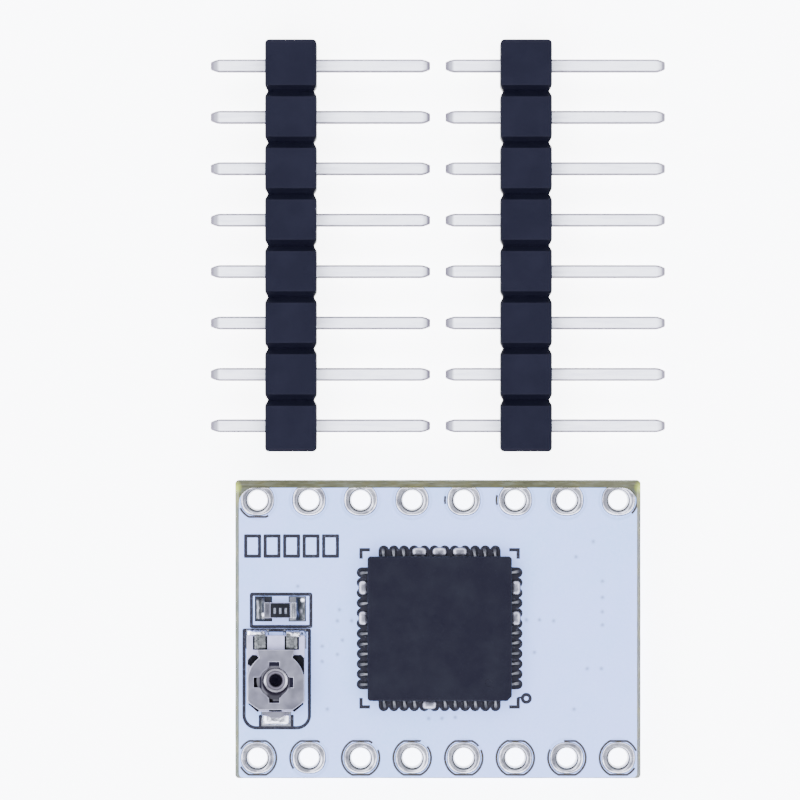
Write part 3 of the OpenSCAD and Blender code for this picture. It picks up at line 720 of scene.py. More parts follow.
def triangulate(outlines, keep, height, extra=()):
    """(points, triangles) between crossing outlines and extra points, where keep says that a
    middle stays. height is a number, or a function of x and y arrays"""
    coords, edges = [], []
    for outline in outlines:
        first = len(coords)
        coords += outline
        edges += [(first + k, first + (k + 1) % len(outline)) for k in range(len(outline))]
    coords += sorted({(round(x, 4), round(y, 4)) for x, y in extra})
    flat, _, triangles, _, _, _ = geometry.delaunay_2d_cdt([Vector(p) for p in coords], edges, [], 0, TOUCH)
    flat = np.array([tuple(p) for p in flat])
    triangles = np.array(triangles)
    triangles = triangles[keep(flat[triangles].mean(axis=1))]
    heights = height(flat[:, 0], flat[:, 1]) if callable(height) else np.full(len(flat), height)
    return {k: (*flat[k], heights[k]) for k in sorted(set(triangles.ravel()))}, triangles


def cap(bm, outlines, keep, height, extra=()):
    """One face of a solid, as triangles"""
    points, triangles = triangulate(outlines, keep, height, extra)
    verts = {k: bm.verts.new(p) for k, p in points.items()}
    for a, b, c in triangles:
        bm.faces.new((verts[a], verts[b], verts[c]))


def sheet(bm, outlines, keep, bottom, top, extra=(), dissolve=False):
    """A closed plate with a flat bottom; top is a number, or a function of x and y arrays"""
    points, triangles = triangulate(outlines, keep, top, extra)
    upper = {k: bm.verts.new(p) for k, p in points.items()}
    lower = {k: bm.verts.new((p[0], p[1], bottom)) for k, p in points.items()}
    sides = dict.fromkeys(edge for a, b, c in triangles for edge in ((a, b), (b, c), (c, a)))
    made = []
    for a, b, c in triangles:
        made.append(bm.faces.new((upper[a], upper[b], upper[c])))
        made.append(bm.faces.new((lower[c], lower[b], lower[a])))
    for a, b in sides:
        if (b, a) not in sides:
            made.append(bm.faces.new((upper[b], upper[a], lower[a], lower[b])))
    if dissolve:
        verts = [*upper.values(), *lower.values()]
        edges = list({edge for face in made for edge in face.edges})
        bmesh.ops.dissolve_limit(bm, angle_limit=math.radians(1), verts=verts, edges=edges)


def plate(bm, outline, bottom, top, holes=(), dissolve=True):
    sheet(bm, [outline, *holes], keep_inside(outline, holes), bottom, top, dissolve=dissolve)


def skin(bm, loops, wrap=False):
    """Faces between closed loops of vertices; wrap also joins the last loop to the first"""
    for low, high in zip(loops, loops[1:] + loops[:1] if wrap else loops[1:]):
        for k in range(len(low)):
            j = (k + 1) % len(low)
            bm.faces.new((low[k], low[j], high[j], high[k]))


def loft(bm, rings, close=True):
    """A skin over rings of points, all with the same count, closed by a face at each end"""
    loops = [[bm.verts.new(p) for p in ring] for ring in rings]
    skin(bm, loops)
    if close:
        bm.faces.new(loops[0][::-1])
        bm.faces.new(loops[-1])


def lathe(bm, x, y, section, count=72):
    """A closed section turned round a vertical axis; section gives its (r, z) points at an angle"""
    loops = [
        [bm.verts.new((x + r * math.cos(t), y + r * math.sin(t), z)) for r, z in section(t)]
        for t in full_turn(count)
    ]
    skin(bm, list(zip(*loops)), wrap=True)


UNMOVED = Matrix.Identity(4)


def rounded_block(bm, lo, hi, r, steps=3, place=UNMOVED):
    """A box with all its edges rounded, lofted along X"""
    half = [(hi[k] - lo[k]) / 2 for k in range(3)]
    mid = [(hi[k] + lo[k]) / 2 for k in range(3)]
    turns = [math.radians(90 * k / steps) for k in range(steps + 1)]
    ends = [(half[0] - r * (1 - math.cos(t)), r * (1 - math.sin(t))) for t in turns]
    rings = []
    for x, inset in [(-x, inset) for x, inset in ends] + ends[::-1]:
        a, b = half[1] - inset, half[2] - inset
        outline = rounded_rect(-a, a, -b, b, [max(r - inset, 0.1 * r)] * 4, steps)
        rings.append([place @ Vector((mid[0] + x, mid[1] + y, mid[2] + z)) for y, z in outline])
    loft(bm, rings)


def block_piece(name, slot, replaces, lo, hi, r, place=UNMOVED):
    bm = bmesh.new()
    rounded_block(bm, lo, hi, r, place=place)
    finish(bm, name, slot, replaces)


def lumps(x, y, z, size, seed):
    """Smooth noise from -1 to 1, the same every time"""
    return noise.noise(Vector((x / size + 17.3 * seed, y / size - 9.1 * seed, z / size)))


def arch(u, middle, z, wide, height, steps, powers, rough, size, seed):
    """One section of a solder joint: an uneven arch across it, and a foot at each side"""
    ring = []
    for phi in (math.pi * k / steps for k in range(steps + 1)):
        v = middle + wide * math.copysign(abs(math.cos(phi)) ** powers[0], math.cos(phi))
        lift = height * math.sin(phi) ** powers[1] * (1 + rough * lumps(u, v, 0, size, seed))
        ring.append((u, v, z + lift))
    return ring + [(u, middle + side * wide, z - 0.01) for side in (-1, 1)]


def box_reach(half_x, half_y, power):
    """Reach of a rounded box (a superellipse) at an angle"""
    def reach(t):
        c, s = abs(math.cos(t)) / half_x, abs(math.sin(t)) / half_y
        return (c ** power + s ** power) ** (-1 / power)
    return reach


def mound(bm, reach_at, centre, base, crown, seed, rough, rings, count):
    """A solder mound: a dome over a wavy outline, with an uneven skin"""
    cx, cy = centre
    turns = full_turn(count)
    reach = [reach_at(t) * (1 + rough * 0.35 * lumps(math.cos(t), math.sin(t), 0, 0.6, seed)) for t in turns]
    rows = [[(cx + r * math.cos(t), cy + r * math.sin(t), base - 0.02) for r, t in zip(reach, turns)]]
    for i in range(rings):
        part = 1 - i / rings
        height = crown * (1 - part ** 2.6) ** 0.55
        row = []
        for r, t in zip(reach, turns):
            x, y = cx + r * part * math.cos(t), cy + r * part * math.sin(t)
            row.append((x, y, base + height * (1 + rough * lumps(x, y, 0, 0.16, seed))))
        rows.append(row)
    loops = [[bm.verts.new(p) for p in row] for row in rows]
    skin(bm, loops)
    top = bm.verts.new((cx, cy, base + crown * (1 + rough * lumps(cx, cy, 0, 0.16, seed))))
    for k in range(count):
        bm.faces.new((loops[-1][k], loops[-1][(k + 1) % count], top))
    bm.faces.new(loops[0][::-1])


def near(x, y, places):
    """Distance from each point to the nearest of some places"""
    best = np.full(len(x), 1e3)
    for px, py in places:
        best = np.minimum(best, np.hypot(x - px, y - py))
    return best


def ridge(away, at, width):
    """1 at a distance, fading on both sides of it"""
    return np.exp(-((away - at) / width) ** 2)


def pit(away, r):
    """1 well inside a radius, and 0 outside it"""
    return np.clip((r - away) / 0.05, 0, 1)


def at_contacts():
    """(side, index, x, y, turn) of each chip contact, with +X of its own frame pointing outward"""
    for side in range(4):
        for index in range(CONTACTS):
            along = (index - (CONTACTS - 1) / 2) * CONTACT_PITCH
            x, y = placed([(CHIP_HALF, along)], turn=90 * side)[0]
            yield side, index, CHIP.x + x, CHIP.y + y, 90 * side


# ---- Board ----

def break_inset(z):
    """How far the break lines cut in at a height, for the north, side and south edges"""
    past = max(z - (BOARD_T - BREAK_DEPTH), BREAK_DEPTH - z, 0) / (CORE_TOP - BOARD_T + BREAK_DEPTH)
    ledges = (BOARD_HI.y - MASK_HI.y, BOARD_HI.x - MASK_HI.x, MASK_LO.y - BOARD_LO.y)
    return [past * ledge for ledge in ledges]


def board_loop(z, step=0.07):
    """The laminate's outline at a height, with the torn web rough and the cut slopes smoother"""
    north, side, south = break_inset(z)
    x0, x1 = BOARD_LO.x + side, BOARD_HI.x - side
    y0, y1 = BOARD_LO.y + south, BOARD_HI.y - north
    web = BREAK_DEPTH < z < BOARD_T - BREAK_DEPTH
    r = BOARD_CORNER_R
    across = round((BOARD_HI.x - BOARD_LO.x) / step)
    along = round((BOARD_HI.y - BOARD_LO.y) / step)
    sides = (
        ((x1 - r, y1), (x0 + r, y1), (0, -1), across), ((x0, y1 - r), (x0, y0 + r), (1, 0), along),
        ((x0 + r, y0), (x1 - r, y0), (0, 1), across), ((x1, y0 + r), (x1, y1 - r), (-1, 0), along),
    )
    outline = []
    for quarter, ((ax, ay), (bx, by), inward, count) in enumerate(sides):
        for k in range(count + 1):
            x, y = ax + (bx - ax) * k / count, ay + (by - ay) * k / count
            ply = lumps(x, y, z * 9, 0.7, 3) * 0.5 + 0.5
            chip_out = max(0, lumps(x, y, z * 2, 0.24, 5) - 0.1)
            depth = (WEB_WAVE * ply + WEB_CHIPS * chip_out) if web else CUT_WAVE * ply
            outline.append((x + inward[0] * depth, y + inward[1] * depth, z))
        for k in range(1, 5):
            t = math.radians(90 * (quarter + 1 + k / 5))
            x, y = bx + inward[0] * r + r * math.cos(t), by + inward[1] * r + r * math.sin(t)
            outline.append((x, y, z))
    return outline


def make_laminate():
    bm = bmesh.new()
    levels = [CORE_BOTTOM, 0.2, 0.4, BREAK_DEPTH]
    levels += [0.5 + 0.06 * k for k in range(11)]
    levels += [1.15, 1.2, 1.4, CORE_TOP]
    rings = [board_loop(z) for z in levels]
    loft(bm, rings, close=False)
    drills = [circle(x, y, DRILL_R) for x, y in HOLES]
    for ring, z in ((rings[0], CORE_BOTTOM), (rings[-1], CORE_TOP)):
        outline = [(x, y) for x, y, _ in ring]
        cap(bm, [outline, *drills], keep_inside(outline, drills), z)
    for drill in drills:
        loft(bm, [[(x, y, z) for x, y in drill] for z in (CORE_BOTTOM, CORE_TOP)], close=False)
    finish(bm, "glass_fibre_board", "laminate", ["board_laminate"], 50)


def pad_radius(turn, r=PAD_R, half=PAD_HALF, power=2.3):
    """Reach of a pad's outline at an angle: a little squarer than an ellipse"""
    return (abs(math.cos(turn) / r) ** power + abs(math.sin(turn) / half) ** power) ** (-1 / power)


def pad_opening(x, y, count=72):
    """The mask's outline round a pad"""
    reaches = [(t, pad_radius(t, PAD_R + MASK_GAP, PAD_HALF + MASK_GAP)) for t in full_turn(count)]
    return [(x + reach * math.cos(t), y + reach * math.sin(t)) for t, reach in reaches]


def contact_loop(x, y, turn):
    """The mask's outline round one land of the chip"""
    straight = LOOP_OUT - LOOP_R
    arc = [math.radians(-90 + 180 * k / 10) for k in range(11)]
    outline = [(-0.1, LOOP_R), (-0.1, -LOOP_R)]
    outline += [(straight + LOOP_R * math.cos(t), LOOP_R * math.sin(t)) for t in arc]
    return placed(outline, x, y, turn)


MASK_OUTLINE = rounded_rect(
    MASK_LO.x, MASK_HI.x, MASK_LO.y, MASK_HI.y,
    [MASK_CORNER_R, MASK_CORNER_R, BOARD_CORNER_R, BOARD_CORNER_R],
)
PAD_OPENINGS = [pad_opening(x, y) for x, y in HOLES]
CONTACT_LOOPS = [contact_loop(x, y, turn) for _, _, x, y, turn in at_contacts()]


def mask_height(x, y):
    """The mask climbs over the copper round each hole, and dips into the vias it covers"""
    via = near(x, y, VIAS)
    bead = 0.012 * ridge(near(x, y, HOLES), 1.02, 0.06)
    dip = 0.006 * ridge(via, 0.2, 0.05) - 0.016 * ridge(via, 0.0, 0.08)
    return BOARD_T + bead + dip


def underside_height(x, y):
    return BOARD_T - mask_height(x, y)


def finish_mask(bm, name, node):
    """Stores on each point of a mask how much the copper under it darkens it, from 0 to 1"""
    mesh = finish(bm, name, "solder_mask", [node]).data
    co = np.zeros(len(mesh.vertices) * 3)
    mesh.vertices.foreach_get("co", co)
    x, y, _ = co.reshape(-1, 3).T / MM
    beside_pad = 0.25 * ridge(near(x, y, HOLES), 0.95, 0.05)
    shade = np.clip(0.75 * ridge(near(x, y, VIAS), 0.0, 0.09) + beside_pad, 0, 1)
    layer = mesh.attributes.new("shade", "FLOAT", "POINT")
    layer.data.foreach_set("value", shade.astype(np.float32))


def make_mask_top():
    bm = bmesh.new()
    openings = PAD_OPENINGS + CONTACT_LOOPS + [widened(land, 0.045) for land in RES_LANDS]
    openings += [widened(land, 0.02) for land in TRIM_LANDS]
    extra = rings_of_points(VIAS, (0.04, 0.08, 0.12, 0.16, 0.2, 0.25, 0.32), 16)
    for r in (0.94, 0.97, 1.0, 1.03, 1.06, 1.1, 1.16):
        extra += [p for x, y in HOLES for p in circle(x, y, r, 56)]
    extra = grid_points(MASK_OUTLINE, 0.4) + only_inside(extra, MASK_OUTLINE)
    keep = keep_inside(MASK_OUTLINE, openings)
    sheet(bm, [MASK_OUTLINE, *openings], keep, CORE_TOP, mask_height, extra)
    finish_mask(bm, "mask_top", "solder_mask_top")


def inside_board(x, y):
    """True inside the flat area that pads and mask share"""
    if not (MASK_LO.x < x < MASK_HI.x and MASK_LO.y < y < MASK_HI.y):
        return False
    dx, dy = abs(x) - (MASK_HI.x - MASK_CORNER_R), y - (MASK_HI.y - MASK_CORNER_R)
    return not (dx > 0 and dy > 0 and math.hypot(dx, dy) > MASK_CORNER_R)


def pad_reach(x, y, turn):
    """How far a pad goes at an angle: its own outline, or the board's edge"""
    reach = pad_radius(turn)
    while reach > DRILL_R and not inside_board(x + reach * math.cos(turn), y + reach * math.sin(turn)):
        reach -= 0.01
    return max(reach, DRILL_R + 0.005)


def pad_half_section(reach, turn, seed):
    """Points of the top half of an eyelet's section, from the pad's outer edge in to the hole"""
    wide = reach - HOLE_R
    south = 0.5 - 0.5 * math.sin(turn)
    crown = (0.025 + 0.035 * south) * min(1, wide / 0.2)
    rim = min(0.07 + 0.05 * south, wide * 0.45)
    uneven = 1 + 0.9 * lumps(math.cos(turn), math.sin(turn), 0, 0.7, seed)
    points = [(reach, CORE_TOP), (reach, BOARD_T + 0.004)]
    for part in (0.08, 0.2, 0.4, 0.6, 0.8, 1.0):
        lift = crown * uneven * math.sin(math.pi * (0.12 + 0.66 * part)) ** 0.8
        points.append((reach - (wide - rim) * part, LAND_TOP + lift - 0.004))
    top = points[-1][1]
    for part in (0.25, 0.5, 0.75, 1.0):
        a = math.radians(90 * part)
        points.append((HOLE_R + rim * (1 - math.sin(a)), top - rim * 1.25 * (1 - math.cos(a))))
    return [*points, (HOLE_R - 0.03, BOARD_T - 0.2), (HOLE_R - 0.05, BOARD_T - 0.4)]


def eyelet_section(x, y, turn, seed):
    """A soldered pad on both faces and the plated wall between them"""
    reach = pad_reach(x, y, turn)
    upper = pad_half_section(reach, turn, seed + 1)
    lower = [(r, BOARD_T - z) for r, z in pad_half_section(reach, turn, seed + 31)]
    return [(DRILL_R, CORE_TOP), *upper, *lower[::-1], (DRILL_R, CORE_BOTTOM)]


def make_board_eyelets():
    bm = bmesh.new()
    for seed, (x, y) in enumerate(HOLES):
        lathe(bm, x, y, lambda turn: eyelet_section(x, y, turn, seed))
    finish(bm, "soldered_eyelets", "tin", ["board_eyelets"], 60, "dipped_tin")


def make_contact_outlines():
    """A dark sheet level with the mask in the gaps round the chip's lands: painted shade for the shaded gaps"""
    bm = bmesh.new()
    land = box_outline(-0.2, LAND_OUT, -CONTACT_W / 2, CONTACT_W / 2)
    lands = [placed(land, x, y, turn) for _, _, x, y, turn in at_contacts()]
    keep = keep_inside(CONTACT_LOOPS[0], lands, CONTACT_LOOPS[1:])
    # The sheet is painted shade: it fills the mask's gaps round the lands with dark ink
    sheet(bm, CONTACT_LOOPS + lands, keep, CORE_TOP, BOARD_T - 0.004)
    finish(bm, "contact_gap_shade", "legend_ink")


# ---- Chip ----

def chip_outline(inset):
    """The chip's square with its cut corner at the south-east"""
    half = CHIP_HALF - 0.006 - inset
    cut = 0.22 + inset * 0.6
    r = 0.14
    points = []
    for quarter, (sx, sy) in enumerate(((1, 1), (-1, 1), (-1, -1))):
        for k in range(4):
            t = math.radians(90 * (quarter + k / 3))
            points.append((sx * (half - r) + r * math.cos(t), sy * (half - r) + r * math.sin(t)))
    points += [(half - cut * (1 - part), cut * part - half) for part in (0, 0.1, 0.9, 1)]
    return [(CHIP.x + x, CHIP.y + y) for x, y in points]


DIMPLE = (CHIP.x + 2.43, CHIP.y - 2.66)
DIMPLE_R = 0.2
DIMPLE_DEPTH = 0.035
CHIP_TOP_EDGE = 0.1


def chip_top(x, y):
    """Flat, with a shallow round dimple that marks the first contact"""
    return CHIP_HI.z - DIMPLE_DEPTH * pit(near(x, y, [DIMPLE]), DIMPLE_R)


def make_chip():
    bm = bmesh.new()
    edge = [(0.09, 0), (0.05, 0.008), (0.02, 0.03), (0.005, 0.06), (0, CHIP_TOP_EDGE)]
    levels = [(CHIP_LO.z, 0)] + [(CHIP_HI.z - down, inset) for down, inset in edge]
    loft(bm, [[(x, y, z) for x, y in chip_outline(inset)] for z, inset in levels], close=False)
    bm.faces.new([bm.verts.new((x, y, CHIP_LO.z)) for x, y in chip_outline(0)])
    outline = chip_outline(CHIP_TOP_EDGE)
    extra = rings_of_points([DIMPLE], (0.06, 0.12, 0.155, 0.18, 0.2, 0.23), 40)
    cap(bm, [outline], keep_inside(outline), chip_top, extra)
    finish(bm, "moulded_chip", "chip_epoxy", ["chip_body"], 30)


def solder_strip(bm, x, y, turn, half, length, rise, slant, seed):
    """Solder on one land: high against the chip, thin at the outer end, round across"""
    rings = []
    for part in (k / 8 for k in range(9)):
        height = rise * (1 - part) ** 1.6 + 0.022 * (1 - part ** 6)
        wide = half * (1 - 0.35 * max(0, part - 0.75) ** 2 * 16)
        ring = arch(
            length * part, slant * part, LAND_TOP, wide, height, steps=8, powers=(1, 0.7), rough=0.25,
            size=0.12, seed=seed,
        )
        rings.append([(*placed([p[:2]], x, y, turn)[0], p[2]) for p in ring])
    loft(bm, rings)


def make_chip_solder():
    """Thin dull solder on the single lands, and a bright blob on each bridged pair"""
    bm, blobs = bmesh.new(), bmesh.new()
    for side, index, x, y, turn in at_contacts():
        seed = side * CONTACTS + index
        if index in BRIDGES[side]:
            centre = placed([(0.2, CONTACT_PITCH / 2)], x, y, turn)[0]
            halves = (0.25, 0.36) if side % 2 == 0 else (0.36, 0.25)
            reach_at, base = box_reach(*halves, power=3.2), LAND_TOP - 0.01
            mound(blobs, reach_at, centre, base, 0.11, seed, rough=0.06, rings=12, count=48)
        elif index - 1 not in BRIDGES[side]:
            slant = 0.05 + 0.05 * lumps(x, y, 0, 0.5, 2)
            solder_strip(bm, x, y, turn, half=0.085, length=0.4, rise=0.1, slant=slant, seed=seed)
    finish(bm, "contact_solder", "solder", ["chip_solder"], 70, "thin_solder")
    finish(blobs, "bridging_solder", "solder", [], 70, "bridging_solder")


# ---- Trimmer ----

def make_trimmer_base():
    bm = bmesh.new()
    x0, x1, y0, y1 = BASE_LO.x, BASE_HI.x, BASE_LO.y, BASE_HI.y
    cut = 0.45
    outline = [(x0, y0 + cut), (x0 + cut, y0), (x1 - cut, y0), (x1, y0 + cut), (x1, y1), (x0, y1)]
    plate(bm, outline, BASE_LO.z, BASE_HI.z, [circle(TRIM.x, TRIM.y, 0.4)])
    bevel(finish(bm, "trimmer_ceramic", "white_ceramic", ["trimmer_base"]), 0.04)


FILM_IN = 0.85
FILM_T = 0.015
MARK_T = 0.016


def arc_band(start, end, r_in, r_out, steps=16):
    """A curved band round the trimmer's axis"""
    turns = [math.radians(start + (end - start) * k / steps) for k in range(steps + 1)]
    inner = [(TRIM.x + r_in * math.cos(t), TRIM.y + r_in * math.sin(t)) for t in turns]
    return inner + [(TRIM.x + r_out * math.cos(t), TRIM.y + r_out * math.sin(t)) for t in turns[::-1]]


def stroke_outline(ax, ay, bx, by, width):
    run = Vector((bx - ax, by - ay)).normalized() * width / 2
    starts = [(ax - run.y, ay + run.x), (ax + run.y, ay - run.x)]
    return starts + [(bx + run.y, by - run.x), (bx - run.y, by + run.x)]


def make_track():
    """The black film: an arc under the plate that shows as a crescent at each shoulder, and a leg under each end
    clip;
    black strokes at the chamfers and a short black bar by the foot are painted shade for the shaded gaps there"""
    bm = bmesh.new()
    edge = rounded_rect(BASE_LO.x + 0.03, BASE_HI.x - 0.03, BASE_LO.y + 0.03, TRIM.y + 1.24, [0.1] * 4)
    bands = [
        arc_band(12, 54, FILM_IN, 1.76), arc_band(128, 151, FILM_IN, 1.7),
        arc_band(151, 372, FILM_IN, 1.3, 48),
    ]
    in_bands = keep_inside(bands[0], also=bands[1:])
    def keep(points):
        return in_bands(points) & inside(points, edge)
    sheet(bm, [edge, *bands], keep, BASE_HI.z, BASE_HI.z + FILM_T, dissolve=True)
    marks = []
    for side, (lo, hi) in zip((-1, 1), END_CLIPS.values()):
        outer, inner = TRIM.x + side * 1.33, TRIM.x + side * 0.86
        # Painted shadow: a black stroke along the chamfer, for the shaded gap there
        marks.append(stroke_outline(outer, TRIM.y - 1.13, inner, TRIM.y - 1.53, 0.11))
        marks.append(box_outline(lo.x - 0.045, hi.x + 0.045, lo.y - 0.05, BASE_HI.y - 0.03))
    # Painted shade: a black bar for the shaded slot where the foot's lip meets the ceramic
    marks.append(box_outline(TRIM.x - 0.34, TRIM.x + 0.29, BASE_LO.y + 0.01, BASE_LO.y + 0.1))
    for mark in marks:
        plate(bm, mark, BASE_HI.z, BASE_HI.z + MARK_T, dissolve=False)
    finish(bm, "resistive_film", "resistive_film", ["trimmer_track"])


def make_drive_plate():
    """A plate with round shoulders below its neck, and a cross for the screwdriver whose middle
    lies a little south-west of the axis"""
    bm = bmesh.new()
    r = 1.385
    shoulder = [math.radians(turn) for turn in range(52, 0, -4)]
    east = [(0.93, 1.51), (0.87, 1.27), (0.82, 1.12)]
    east += [(r * math.cos(t), r * math.sin(t)) for t in shoulder]
    east += [(r, -1.0), (1.28, -1.14), (0.85, -1.45)]
    body = [(TRIM.x + x, TRIM.y + y) for x, y in east + [(-x, y) for x, y in east[::-1]]]
    ax, ay = TRIM.x - 0.08, TRIM.y - 0.1
    opening = [
        circle(ax, ay, 0.735, 64), box_outline(ax - 1.0, ax + 0.93, ay - 0.24, ay + 0.24),
        box_outline(ax - 0.245, ax + 0.245, ay - 1.0, ay + 1.0),
        [(ax - 0.56, ay - 0.34), (ax + 0.56, ay - 0.34), (ax + 0.3, ay - 0.74), (ax - 0.3, ay - 0.74)],
    ]
    plate(bm, body, PLATE_LO.z, PLATE_HI.z - 0.005, opening)
    piece = finish(bm, "drive_plate", "nickel", ["trimmer_drive_plate"], body="trimmer_rotor")
    bevel(piece, 0.035, clamp=False)


def make_hub():
    """The riveted hub: a rolled rim, a shallow cone inside it and the hole"""
    bm = bmesh.new()
    z = BASE_LO.z
    foot = [(0.0, z), (0.0, z + 0.05), (0.28, z + 0.05)]
    rim = [
        (0.28, 0.16), (0.33, 0.11), (0.4, 0.075), (0.46, 0.05), (0.49, 0.012), (0.53, 0),
        (0.57, 0.012), (0.597, 0.05), (0.6, 0.1), (0.585, 0.15), (0.55, 0.19), (0.36, 0.2),
    ]
    profile = foot + [(r, HUB_Z - down) for r, down in rim] + [(0.36, z)]
    lathe(bm, TRIM.x, TRIM.y, lambda turn: profile)
    finish(bm, "riveted_hub", "end_metal", ["trimmer_wiper_terminal"], 60, "hub_metal")


def make_wiper_foot():
    """The flat foot, and the lip that climbs from it to the plate"""
    bm = bmesh.new()
    z = FOOT_LO.z
    foot = rounded_rect(TRIM.x - 0.6, TRIM.x + 0.6, FOOT_LO.y, FOOT_LO.y + 0.66, [0.05] * 4, 4)
    plate(bm, foot, z, z + 0.1)
    lip_radii = [0.05, 0.05, 0.2, 0.2]
    lip = rounded_rect(TRIM.x - 0.4, TRIM.x + 0.42, FOOT_LO.y + 0.33, BASE_LO.y - 0.01, lip_radii, 6)
    plate(bm, lip, z + 0.1, BASE_HI.z - 0.06)
    bevel(finish(bm, "wiper_foot", "nickel"), 0.035)


def make_terminals():
    """Each end terminal: a metal clip over the ceramic's edge with a pressed step and a lip"""
    for side, (lo, hi) in END_CLIPS.items():
        bm = bmesh.new()
        blocks = [
            (0.04, lo.y, hi.y, BASE_HI.z + 0.001, hi.z - 0.01, 0.02),
            (0.04, hi.y - 0.06, hi.y, LAND_TOP + 0.005, hi.z - 0.01, 0.02),
            (0.16, lo.y + 0.05, lo.y + 0.42, hi.z - 0.02, hi.z + 0.02, 0.018),
            (0.05, lo.y + 0.46, lo.y + 0.52, hi.z - 0.02, hi.z + 0.015, 0.015),
        ]
        for aside, y0, y1, z0, z1, r in blocks:
            rounded_block(bm, (lo.x + aside, y0, z0), (hi.x - aside, y1, z1), r)
        finish(bm, f"terminal_clip_{side}", "nickel", [f"trimmer_terminal_{side}"], 50, "worn_nickel")


def make_trimmer_solder():
    """Grainy joints at the end terminals, the right one duller, and a smooth one at the foot"""
    rise = BASE_HI.z + 0.1 - LAND_TOP
    for k, (side, deep, look) in enumerate(((-1, 0.17, "joint_bright"), (1, 0.24, "joint_dull"))):
        bm = bmesh.new()
        centre = (TRIM.x + side * END_LAND_X, END_LAND_NORTH - deep)
        reach_at = box_reach(END_LAND_HALF, deep, power=7)
        mound(bm, reach_at, centre, LAND_TOP, rise, seed=k + 3, rough=0.12, rings=14, count=72)
        finish(bm, f"terminal_joint_{k}", "solder", [], 70, look)
    bm = bmesh.new()
    centre = (TRIM.x, FOOT_LO.y + 0.21)
    reach_at = box_reach(FOOT_LAND_HALF, 0.29, power=6)
    mound(bm, reach_at, centre, LAND_TOP, 0.2, seed=12, rough=0.12, rings=10, count=72)
    finish(bm, "trimmer_joints", "solder", ["trimmer_solder"], 70)


# ---- Two-terminal parts ----

def end_metal_block(bm, lo, hi, side, end, place=UNMOVED):
    """The wrapped metal end of a part, a little fuller than its ceramic"""
    x0, x1 = (lo[0], lo[0] + end) if side < 0 else (hi[0] - end, hi[0])
    rounded_block(bm, (x0, lo[1], lo[2]), (x1, hi[1], hi[2]), 0.045, 4, place)


def fillet(bm, x, y, z, half, out, rise, seed, place=UNMOVED):
    """A solder fillet that climbs a part's end: x is the end's face, and out is signed"""
    rings = []
    for part in (k / 10 for k in range(11)):
        height = rise * (1 - part) ** 2.0 + 0.035 * (1 - part ** 8)
        wide = half * (1 - 0.12 * part ** 3)
        ring = arch(
            x + out * part, y, z, wide, height, steps=12, powers=(0.7, 0.35), rough=0.2, size=0.22,
            seed=seed,
        )
        rings.append([place @ Vector(p) for p in ring])
    loft(bm, rings)


def make_top_resistor():
    lo, hi = RES_LO, RES_HI
    core = (lo.x + 0.03, lo.y + 0.02, lo.z), (hi.x - 0.03, hi.y - 0.02, hi.z - 0.02)
    block_piece("resistor_ceramic", "white_ceramic", ["resistor_core"], *core, 0.02)
    coat_lo, coat_hi = corners("resistor_coat")
    coat = (coat_lo.x, coat_lo.y, coat_lo.z - 0.03), coat_hi
    block_piece("resistor_glass", "glass_coat", ["resistor_coat"], *coat, 0.025)
    joints = bmesh.new()
    ends = (
        (-1, "left", "end_dull", lo.x + 0.02, 0.36, 4), (1, "right", "end_striped", hi.x - 0.02, 0.3, 9)
    )
    for side, name, look, face, rise, seed in ends:
        bm = bmesh.new()
        end_metal_block(bm, lo, (hi.x, hi.y, hi.z + 0.015), side, RES_END)
        finish(bm, f"resistor_end_{name}", "end_metal", [f"resistor_cap_{name}"], 60, look)
        fillet(joints, face, RES_Y, LAND_TOP, RES_LAND_HALF - 0.01, side * LAND_PAST, rise, seed)
    finish(joints, "resistor_joints", "solder", ["resistor_solder"], 60, "resistor_joint")

    # Three plain bars in place of a printed code
    bm = bmesh.new()
    middle = (coat_lo + coat_hi) / 2
    for x in (middle.x - 0.27, middle.x, middle.x + 0.27):
        bar = rounded_rect(x - 0.055, x + 0.055, middle.y - 0.17, middle.y + 0.12, [0.03] * 4, 3)
        plate(bm, bar, coat_hi.z - 0.005, coat_hi.z + 0.006, dissolve=False)
    finish(bm, "resistor_bars", "legend_ink", material="resistor_bar")


# ---- Underside ----

# Kind of part, marks in its nodes' names, slot of its ceramic, length of its metal ends
UNDERSIDE_KINDS = (
    ("capacitor", "1234", "capacitor_ceramic", 0.45), ("small_resistor", "1234", "white_ceramic", 0.3),
    ("sense_resistor", "ab", "white_ceramic", 0.5),
)


def underside_parts():
    """(node, slot, metal end, middle of its seat, size, turn) of each part under the board. Its
    size is along it, across it and down, and it lies along X before the turn"""
    for kind, marks, slot, end in UNDERSIDE_KINDS:
        for node in (f"{kind}_{mark}" for mark in marks):
            lo, hi = corners(node)
            span = hi - lo
            seat = Vector(((lo.x + hi.x) / 2, (lo.y + hi.y) / 2, hi.z))
            size = Vector((max(span.x, span.y) + 0.06, min(span.x, span.y), span.z))
            yield node, slot, end, seat, size, 90 if span.x < span.y else 0


